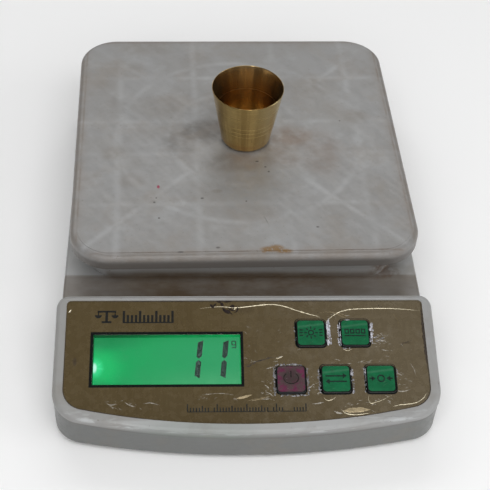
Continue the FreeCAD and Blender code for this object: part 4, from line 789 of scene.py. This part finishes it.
def display_digits():
    """Two slanted seven-segment ones and the unit, dark on the glass."""
    slant = 0.1
    low = -GLASS_DEPTH
    high = low + 0.06
    upper = ((0.0, 0.9), (2.3, 0.0), (2.3, 7.2), (1.2, 8.6), (0.0, 7.6))
    lower = ((1.1, 9.1), (2.3, 10.2), (2.3, 17.6), (0.0, 16.4), (0.0, 10.2))
    top = 17.6
    made = bmesh.new()
    for left in (-21.8, -10.8):
        for segment in (upper, lower):
            add_prism(made, [(left + x - slant * (down - 8.7), top + down) for x, down in segment], low, high)
    unit_x = -5.5
    unit_down = 18.9
    add_frame(made, rounded_box(unit_x, unit_down, 1.05, 1.1, 0.5),
              rounded_box(unit_x, unit_down, 0.62, 0.67, 0.3), low, high)
    add_prism(made, box(unit_x + 0.84, unit_down + 0.9, 0.21, 1.4), low, high)
    add_prism(made, box(unit_x, unit_down + 2.2, 0.95, 0.22), low, high)
    add_piece("display_digits", made, segment_ink, "housing")


# ---------------------------------------------------------------- prints on the film and keys

def name_mark():
    """A plain balance symbol and a graduated line where the front carries its title."""
    made = bmesh.new()
    low, high = 0.0, 0.03
    x, down = -60.4, 4.6
    add_prism(made, box(x, down + 0.5, 4.0, 0.42), low, high)
    add_prism(made, box(x, down + 2.9, 0.55, 2.5), low, high)
    add_prism(made, box(x, down + 5.5, 2.1, 0.45), low, high)
    for side in (-3.6, 3.6):
        bowl = [(x + side + 1.5 * math.cos(math.pi * i / 10), down + 2.2 + 1.5 * math.sin(math.pi * i / 10))
                for i in range(11)]
        add_prism(made, bowl, low, high)
        add_prism(made, box(x + side, down + 1.4, 0.24, 0.8), low, high)
    start, pitch, count = -53.0, 1.75, 13
    for i in range(count):
        half = 2.7 if i % 4 == 0 else 1.7
        add_prism(made, box(start + pitch * i, 10.2 - half, 0.5, half), low, high)
    half_run = pitch * (count - 1) / 2
    add_prism(made, box(start + half_run, 10.35, half_run + 0.5, 0.28), low, high)
    add_piece("title_mark", made, title_ink, "housing")


def caption_mark():
    """A fine graduated line low on the film, rubbed away in places."""
    made = bmesh.new()
    low, high = 0.0, 0.025
    start, end, pitch = -25.6, 24.0, 1.24
    count = int((end - start) / pitch) + 1
    for i in range(count):
        x = start + pitch * i
        half = 1.65 if i % 10 == 0 else 1.25 if i % 5 == 0 else 0.85
        if rng.random() < (0.25 if x > 8 else 0.04):
            continue
        add_prism(made, box(x, 51.2 - half, 0.27, half), low, high)
    for left, right in ((-25.6, 7.0), (7.6, 12.4), (13.2, 24.0)):
        add_prism(made, box((left + right) / 2, 51.3, (right - left) / 2, 0.2), low, high)
    add_piece("caption_mark", made, faded_ink, "housing")


def key_icons():
    """Simple symbols for light, count, power, mode and tare."""
    low, high = KEY_PROUD - 0.01, KEY_PROUD + 0.03

    def icon(node, draw):
        worn = node == "key_power"
        made = bmesh.new()
        draw(made, *key_middle(node))
        add_piece(node + "_symbol", made, worn_ink if worn else key_ink, node)

    def lamp(made, x, down):
        add_frame(made, circle(x, down, 1.35), circle(x, down, 0.85), low, high)
        for i in range(8):
            angle = math.pi * i / 4
            ray = Vector((math.cos(angle), math.sin(angle)))
            side = Vector((-ray.y, ray.x)) * 0.28
            ends = [ray * 1.8 - side, ray * 2.9 - side, ray * 2.9 + side, ray * 1.8 + side]
            add_prism(made, [(x + end.x, down + end.y) for end in ends], low, high)
        for side in (-4.3, 4.3):
            for step in (-1.3, 0.0, 1.3):
                add_prism(made, box(x + side, down + step, 0.75, 0.27), low, high)

    def count(made, x, down):
        for column in (-3.6, -1.2, 1.2, 3.6):
            outer = box(x + column, down - 0.6, 0.98, 1.15)
            add_frame(made, outer, box(x + column, down - 0.6, 0.46, 0.63), low, high)
        add_prism(made, box(x, down + 1.5, 4.6, 0.27), low, high)

    def power(made, x, down):
        steps = 20
        opening = math.radians(40)
        turn = [opening + (2 * math.pi - 2 * opening) * i / steps - math.pi / 2 for i in range(steps + 1)]
        outer = [(x + 3.4 * math.cos(a), down - 0.4 + 2.8 * math.sin(a)) for a in turn]
        inner = [(x + 2.9 * math.cos(a), down - 0.4 + 2.3 * math.sin(a)) for a in reversed(turn)]
        add_prism(made, outer + inner, low, high)
        add_prism(made, box(x, down - 2.2, 0.28, 1.5), low, high)

    def arrow(made, x, down, way, length):
        add_prism(made, [(x + way * length, down), (x + way * (length - 1.7), down - 1.2),
                         (x + way * (length - 1.7), down + 1.2)], low, high)

    def mode(made, x, down):
        for row, way in ((-1.25, 1), (1.25, -1)):
            add_prism(made, box(x - way * 0.8, down + row, 3.7, 0.3), low, high)
            arrow(made, x, down + row, way, 4.6)

    def tare(made, x, down):
        add_frame(made, circle(x, down, 1.7), circle(x, down, 1.1), low, high)
        for way in (-1, 1):
            add_prism(made, box(x + way * 4.3, down, 0.7, 0.3), low, high)
            arrow(made, x + way * 4.4, down, -way, 2.1)

    for node, draw in zip(KEYS, (lamp, count, power, mode, tare)):
        icon(node, draw)


# ---------------------------------------------------------------- wear on the film, with painted highlights and shade

def film_edge(inset, steps=10):
    """The film's edge moved in by inset, open at the top: down one side, along the bow, up the other."""
    side = FILM_HALF - inset
    bow_centre = FILM_LENGTH - FILM_BOW
    corner_x = FILM_HALF - FILM_CORNER
    corner_down = bow_centre + math.sqrt((FILM_BOW - FILM_CORNER) ** 2 - corner_x ** 2)
    turn = math.atan2(corner_x, corner_down - bow_centre)
    right = [(side, 1.5 + (corner_down - 1.5) * i / steps) for i in range(steps)]
    for i in range(steps):
        angle = math.pi / 2 - (math.pi / 2 - turn) * i / steps
        right.append((corner_x + (FILM_CORNER - inset) * math.sin(angle),
                      corner_down + (FILM_CORNER - inset) * math.cos(angle)))
    for i in range(steps):
        angle = turn * (1 - i / steps)
        right.append(((FILM_BOW - inset) * math.sin(angle),
                      bow_centre + (FILM_BOW - inset) * math.cos(angle)))
    lowest = [(0.0, FILM_LENGTH - inset)]
    return right + lowest + [(-x, down) for x, down in reversed(right)]


CREASES = (
    (((-20.3, 3.8), (-12.0, 2.9), (-4.1, 3.4), (4.8, 2.4), (11.3, 1.9), (16.8, 2.8), (22.3, 4.9), (27.5, 6.6),
      (31.0, 7.6), (32.6, 9.0)), 0.26, 0.24),
    (((34.6, 11.5), (35.6, 9.6), (38.3, 7.3), (41.5, 5.5), (46.1, 4.4), (54.0, 4.0), (62.0, 4.0), (70.0, 4.4),
      (76.6, 5.1)), 0.24, 0.22),
    (((31.7, 45.0), (32.4, 46.2), (33.8, 46.7), (35.8, 46.0), (36.8, 44.9)), 0.16, 0.12),
    (((50.8, 44.4), (50.7, 46.4), (51.5, 48.1), (53.7, 47.6), (56.7, 46.6), (60.8, 44.3)), 0.15, 0.1),
    (((41.3, 23.2), (43.2, 23.9), (45.2, 23.4)), 0.16, 0.12),
    (((60.6, 49.7), (63.3, 49.0), (67.0, 48.6), (71.0, 47.9), (74.0, 46.0), (75.8, 43.6)), 0.22, 0.16),
    (((38.6, 50.6), (41.0, 52.6), (45.5, 53.1), (51.0, 52.3)), 0.24, 0.16),
    (((-5.4, 4.3), (-4.9, 4.0), (-4.6, 3.4)), 0.34, 0.2),
    (((12.2, 27.4), (13.6, 27.3), (15.4, 26.4)), 0.2, 0.12),
    (((-76.9, 5.6), (-76.2, 4.6), (-75.7, 4.1)), 0.3, 0.16),
)
SOFT_CREASES = (
    (((31.8, 5.9), (36.4, 5.6), (40.4, 6.2), (43.3, 7.3), (45.5, 9.0)), 0.2, 0.12),
    (((36.4, 5.2), (40.0, 6.6), (44.0, 8.9)), 0.3, 0.1),
    (((-0.5, 46.4), (4.0, 45.8), (9.0, 44.6)), 0.5, 0.05),
    (((64.0, 6.0), (66.0, 9.0), (67.0, 13.0)), 0.14, 0.06),
)
SCRATCHES = (
    (((26.5, 48.1), (29.0, 48.0), (31.8, 47.4)), 0.26),
    (((35.5, 51.3), (37.4, 52.2), (39.3, 52.4)), 0.4), (((48.3, 29.3), (49.8, 28.8)), 0.3),
    (((55.6, 18.6), (58.0, 19.4), (60.2, 19.1)), 0.3), (((58.2, 23.5), (60.1, 24.1)), 0.28),
    (((63.7, 34.7), (65.0, 35.0), (66.1, 35.8)), 0.24),
    (((62.5, 42.5), (66.0, 42.8), (69.4, 41.8)), 0.2), (((7.7, 32.3), (9.6, 31.7), (11.2, 31.2)), 0.22),
    (((6.9, 39.5), (8.0, 40.2), (8.8, 41.2)), 0.24), (((7.3, 42.6), (9.0, 43.4), (10.6, 44.8)), 0.24),
    (((4.8, 45.7), (7.2, 45.9), (9.6, 45.5)), 0.2), (((24.9, 41.2), (26.4, 40.6), (27.9, 39.1)), 0.22),
    (((-59.3, 47.3), (-57.4, 48.0), (-55.0, 47.5)), 0.2),
    (((-51.9, 46.6), (-50.0, 48.0), (-47.0, 49.0)), 0.18),
    (((-44.0, 47.6), (-41.0, 47.2), (-37.1, 48.2)), 0.18), (((-76.9, 5.6), (-75.7, 4.1)), 0.32),
    (((12.2, 27.3), (15.4, 26.4)), 0.26), (((-71.0, 50.0), (-69.0, 50.6)), 0.16),
    (((54.0, 20.4), (56.4, 20.9)), 0.22), (((70.0, 30.0), (71.5, 33.0), (71.8, 36.0)), 0.12),
    (((37.4, 27.9), (40.2, 28.6)), 0.14), (((-20.0, 43.8), (-12.0, 43.2), (-6.0, 43.9)), 0.12),
)
HAIRLINES = (
    (8.0, 42.0, 3.0, 5.0, 20), (28.0, 40.0, 2.0, 5.0, 12), (58.5, 19.0, 3.0, 3.0, 22),
    (47.5, 29.5, 12.0, 1.0, 14), (66.0, 38.0, 3.0, 4.0, 12), (40.0, 7.0, 5.0, 2.0, 12),
    (-52.0, 48.0, 10.0, 2.0, 12), (45.0, 49.0, 8.0, 2.5, 16), (10.0, 20.0, 12.0, 10.0, 14),
    (64.0, 24.0, 8.0, 5.0, 10), (-10.0, 45.0, 12.0, 2.0, 8), (60.0, 46.0, 8.0, 2.5, 10),
)
CRACKS = (
    (((-1.4, 30.3), (1.8, 30.0), (4.0, 28.8), (7.3, 27.9), (9.9, 27.0), (12.0, 27.2)), 0.34),
    (((-1.0, 30.8), (0.6, 31.0), (1.8, 30.4)), 0.32),
    (((65.2, 23.0), (68.5, 20.4), (72.1, 19.2)), 0.12),
    (((58.4, 2.3), (58.8, 3.0)), 0.4), (((59.5, 3.0), (60.0, 3.4)), 0.42), (((57.2, 3.1), (57.6, 3.3)), 0.25),
)
MELTED = (
    (((-15.6, 1.6), (-14.9, 2.6), (-13.8, 3.7)), 0.42),
    (((-12.9, 1.2), (-13.7, 2.2), (-14.6, 3.1)), 0.34),
    (((-13.0, 0.4), (-11.8, 0.5), (-10.7, 0.4)), 0.4),
    (((-11.2, 0.6), (-10.4, 1.8), (-10.0, 3.0)), 0.46),
    (((-10.6, 3.2), (-9.2, 4.5), (-7.6, 5.3), (-5.9, 6.6)), 0.5),
    (((-10.2, 4.6), (-8.6, 5.6), (-7.0, 6.3)), 0.3), (((-9.6, 0.7), (-8.2, 0.5), (-5.8, 0.3)), 0.3),
    (((-8.0, 3.5), (-6.8, 3.0), (-5.6, 2.4), (-5.2, 3.6), (-5.1, 5.0)), 0.42),
    (((-8.0, 3.6), (-6.6, 4.3), (-5.2, 5.0)), 0.36),
    (((-4.3, 2.6), (-3.5, 3.8), (-4.2, 5.2), (-5.3, 5.8)), 0.26),
)
BRIGHT_FOIL = (
    (34.7, 36.6, 10.6, 20.8, 90), (39.6, 40.9, 10.8, 21.6, 66), (53.7, 55.2, 10.8, 20.8, 50),
    (44.1, 44.8, 33.6, 35.4, 8), (44.1, 44.8, 42.2, 43.6, 10), (49.7, 50.2, 32.6, 34.4, 10),
    (35.0, 36.0, 9.2, 10.6, 10), (53.4, 54.2, 18.6, 19.8, 8),
)
DULL_FOIL = (
    (44.1, 45.0, 32.6, 43.4, 26), (29.9, 30.8, 32.4, 43.2, 40), (49.6, 50.4, 31.8, 43.0, 20),
    (63.5, 64.3, 32.2, 38.0, 12), (10.8, 11.7, 31.2, 43.8, 50), (25.0, 26.0, 32.0, 44.2, 44),
    (12.0, 24.0, 30.1, 30.7, 30), (12.0, 25.0, 44.0, 44.7, 24), (41.0, 44.4, 22.6, 23.1, 10),
    (20.4, 21.3, 13.0, 20.0, 12), (43.0, 46.0, 9.0, 9.4, 6), (55.0, 60.0, 17.0, 20.0, 14),
)


def touches_key(points):
    """Whether any point of a scratch is on a key or within a hair of its edge."""
    reach = KEY_HALF + 0.45
    return any(abs(point[0] - x) < reach and abs(point[1] - down) < reach
               for x, down in map(key_middle, KEYS) for point in points)


def film_wear():
    # creases: real ridges, their light gold a painted highlight
    creases = bmesh.new()
    for points, half_width, crest in CREASES:
        add_ridge(creases, points, half_width, crest, uneven=0.22)
    add_piece("film_creases", creases, crease_painted_highlight, "housing", smooth=True)
    # soft folds whose lighter gold is a painted highlight
    folds = bmesh.new()
    for points, half_width, crest in SOFT_CREASES:
        add_ridge(folds, points, half_width, crest, uneven=0.35)
    add_piece("film_folds", folds, soft_fold_painted_highlight, "housing", smooth=True)
    # painted glare: lighter gold patches where the film reflects the light
    patch = bmesh.new()
    add_ridge(patch, ((39.4, 51.4), (43.0, 51.1), (47.0, 50.9), (51.2, 50.9)), 1.3, 0.05, uneven=0.15)
    add_ridge(patch, ((-5.5, 45.6), (-2.0, 44.9), (1.6, 43.8)), 0.7, 0.03, uneven=0.2)
    add_piece("painted_glare_patches", patch, glare_gold, "housing", smooth=True)
    scratches = bmesh.new()
    for points, half_width in SCRATCHES:
        add_ridge(scratches, points, half_width, 0.05, uneven=0.6)
    for x, down, spread_x, spread_down, count in HAIRLINES:
        for _ in range(count):
            start = Vector((x + rng.uniform(-spread_x, spread_x),
                            down + rng.uniform(-spread_down, spread_down)))
            angle = rng.uniform(-0.7, 0.9)
            run = Vector((math.cos(angle), math.sin(angle))) * rng.uniform(0.6, 2.4)
            bend = Vector((-run.y, run.x)) * rng.uniform(-0.2, 0.2)
            line = (start, start + run / 2 + bend, start + run)
            if not touches_key(line):
                add_ridge(scratches, line, rng.uniform(0.05, 0.13), 0.03, uneven=0.6, steps=3)
    add_piece("film_scratches", scratches, scratch_white, "housing")
    cracks = bmesh.new()
    for points, half_width in CRACKS:
        add_ridge(cracks, points, half_width, 0.04, uneven=0.5)
    add_piece("film_cracks", cracks, grime_and_painted_shade, "housing")
    mark = bmesh.new()
    for points, half_width in MELTED:
        add_ridge(mark, points, half_width * 1.25, 0.24, uneven=0.4)
    add_piece("melted_mark", mark, burnt, "housing", smooth=True)


def foil_flakes():
    """Broken silvery film round the keys: bright where it is bare, dull where a little coating is left."""
    for name, zones, material in (("bare_foil", BRIGHT_FOIL, bare_foil), ("dull_foil", DULL_FOIL, dull_foil)):
        made = bmesh.new()
        for zone in zones:
            add_shards(made, *zone)
        add_piece(name, made, material, "housing")


def add_shards(made, left, right, upper, lower, count):
    """Small tilted shards, drawn out along the longer side of their zone."""
    upright = lower - upper > right - left
    for _ in range(count):
        x = rng.uniform(left, right)
        down = rng.uniform(upper, lower)
        size = rng.uniform(0.16, 0.55)
        stretch = rng.uniform(1.0, 2.4)
        wide, tall = (1.0, stretch) if upright else (stretch, 1.0)
        corners = rng.randint(3, 5)
        start = rng.uniform(0, 2 * math.pi)
        outline = []
        for i in range(corners):
            angle = start - 2 * math.pi * i / corners
            reach = size * rng.uniform(0.6, 1.3)
            outline.append((x + wide * reach * math.cos(angle), down + tall * reach * math.sin(angle)))
        apex = (x + rng.uniform(-0.1, 0.1), down + rng.uniform(-0.1, 0.1))
        add_pyramid(made, outline, apex, rng.uniform(0.03, 0.2))


def rim_shade_and_grime():
    """Dirt and painted shade between the film and the rim, thickest on the right."""
    made = bmesh.new()
    edge = film_edge(0.22)
    add_ridge(made, edge, 0.26, 0.1, uneven=0.5, steps=3)
    side = [(x, down) for x, down in film_edge(0.55) if x > FILM_HALF - 1.0 and down < 36]
    add_ridge(made, side, 0.55, 0.14, uneven=0.6, steps=5)
    top = [(-FILM_HALF + 1.5 + i * 5.0, 0.25) for i in range(int((2 * FILM_HALF - 3) / 5.0) + 1)]
    add_ridge(made, top, 0.22, 0.08, uneven=0.5, steps=4)
    add_piece("film_rim_shade_and_grime", made, grime_and_painted_shade, "housing", smooth=True)


def key_outlines():
    """The black printed line round each key."""
    made = bmesh.new()
    for node in KEYS:
        x, down = key_middle(node)
        inner = KEY_HALF + 0.3
        outer = inner + (0.15 if node == "key_power" else 0.34)
        add_frame(made, rounded_box(x - 0.1, down + 0.14, outer, outer, 2.1),
                  rounded_box(x, down, inner, inner, 1.9), -0.02, 0.06)
    add_piece("key_outlines", made, print_black, "housing")


# ---------------------------------------------------------------- brass cup

def turned_cup():
    """The cup as it was turned: rounded foot, three engraved lines, thin rounded lip, ringed floor."""
    height = (cup_high.z - cup_low.z) / MM
    rim = (cup_high.x - cup_low.x) / 2 / MM
    foot = 11.75
    wall = 0.5

    def outside(z):
        return foot + (rim - foot) * z / height

    profile = [(0.0, 0.5), (7.8, 0.5), (8.3, 0.1), (8.8, 0.0)]
    corner = 2.9
    for i in range(7):
        angle = math.pi / 2 * (1 + i / 6)
        profile.append((outside(corner) - corner - corner * math.cos(angle),
                        corner - corner * math.sin(angle)))
    for line, depth in ((5.3, 0.04), (11.6, 0.11), (14.3, 0.11), (17.1, 0.11)):
        for offset, cut in ((-0.5, 0.0), (-0.24, 0.0), (-0.08, depth), (0.08, depth), (0.24, 0.0),
                            (0.5, 0.0)):
            profile.append((outside(line + offset) - cut, line + offset))
    profile += [(outside(24.0), 24.0), (outside(height - 0.8), height - 0.8), (rim - 0.02, height - 0.25),
                (rim - 0.08, height - 0.05), (rim - 0.15, height), (rim - 0.24, height - 0.08),
                (rim - 0.34, height - 0.4)]
    floor = 1.2
    for i in range(6):
        z = height - 3.0 - (height - 3.0 - floor - 3.0) * i / 5
        profile.append((outside(z) - wall, z))
    round_in = 2.6
    start = outside(floor + round_in) - wall
    for i in range(1, 7):
        angle = math.pi / 2 * i / 6
        profile.append((start - round_in + round_in * math.cos(angle),
                        floor + round_in - round_in * math.sin(angle)))
    radius = start - round_in
    while radius > 1.2:
        profile.append((radius - 0.35, floor + 0.05))
        profile.append((radius - 0.7, floor))
        radius -= 0.7
    profile.append((0.0, floor))

    segments = 144
    made = bmesh.new()
    rings = []
    for r, z in profile:
        count = 1 if r == 0.0 else segments
        rings.append([made.verts.new((CUP_MIDDLE.x + r * MM * math.cos(2 * math.pi * i / segments),
                                      CUP_MIDDLE.y + r * MM * math.sin(2 * math.pi * i / segments),
                                      cup_low.z + z * MM)) for i in range(count)])
    for first, second in zip(rings, rings[1:]):
        for i in range(segments):
            j = (i + 1) % segments
            corners = [first[i % len(first)], first[j % len(first)], second[j % len(second)],
                       second[i % len(second)]]
            made.faces.new(list(dict.fromkeys(corners)))
    cup = add_piece("turned_cup", made, brass, "brass_cup", smooth=True)
    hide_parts("brass_cup")


rng = random.Random(7)
window_frame()
display_digits()
name_mark()
caption_mark()
key_icons()
film_wear()
foil_flakes()
rim_shade_and_grime()
key_outlines()
turned_cup()


# ---------------------------------------------------------------- stage, light and camera

def floor():
    reach = 4.0
    mesh = bpy.data.meshes.new("floor")
    mesh.from_pydata([(-reach, -reach, 0), (reach, -reach, 0), (reach, reach, 0), (-reach, reach, 0)], [],
                     [(0, 1, 2, 3)])
    made = bpy.data.objects.new("floor", mesh)
    bpy.context.collection.objects.link(made)
    paper = Graph("floor_paper")
    paper.set(base_color=(0.95, 0.95, 0.95), roughness=0.9, specular_ior_level=0.1)
    mesh.materials.append(paper.material)


def soft_light(name, where, aim, size, power):
    data = bpy.data.lights.new(name, "AREA")
    data.shape = "RECTANGLE"
    data.size, data.size_y = size
    data.energy = power
    made = bpy.data.objects.new(name, data)
    made.location = where
    made.rotation_euler = (Vector(aim) - Vector(where)).to_track_quat("-Z", "Y").to_euler()
    bpy.context.collection.objects.link(made)


def studio():
    """Soft boxes in front and behind; the gap between them keeps the flat film free of glare."""
    world = bpy.data.worlds.new("studio")
    world.use_nodes = True
    sky = world.node_tree.nodes["Background"]
    sky.inputs["Color"].default_value = (1.0, 1.0, 1.0, 1.0)
    sky.inputs["Strength"].default_value = 0.3
    bpy.context.scene.world = world
    soft_light("front_box", (0.05, -0.6, 1.1), (0, 0, 0), (1.3, 0.55), 6.6)
    soft_light("low_box", (0.0, -1.2, 0.74), (0, 0, 0.02), (1.8, 0.45), 5.2)
    soft_light("side_box", (1.1, -0.4, 0.6), (0, 0, 0.03), (0.5, 0.8), 2.6)
    soft_light("back_box", (-0.1, 0.95, 0.95), (0, 0, 0), (1.4, 0.5), 5.0)
    bpy.context.scene.view_settings.view_transform = "Standard"


def camera():
    """Almost straight on, 46 degrees above the horizon, slightly rolled."""
    azimuth = math.radians(-4.588)
    elevation = math.radians(45.759)
    roll = math.radians(3.295)
    distance = 0.5361
    aim = Vector((1.76, -19.86, 25.0)) * MM
    back = Vector((math.sin(azimuth) * math.cos(elevation), -math.cos(azimuth) * math.cos(elevation),
                   math.sin(elevation)))
    data = bpy.data.cameras.new("camera")
    data.sensor_width = 36.0
    data.lens = 83.63
    made = bpy.data.objects.new("camera", data)
    bpy.context.collection.objects.link(made)
    made.rotation_mode = "QUATERNION"
    made.rotation_quaternion = (-back).to_track_quat("-Z", "Y") @ Quaternion((0, 0, 1), roll)
    made.location = aim + back * distance
    bpy.context.scene.camera = made


floor()
studio()
camera()
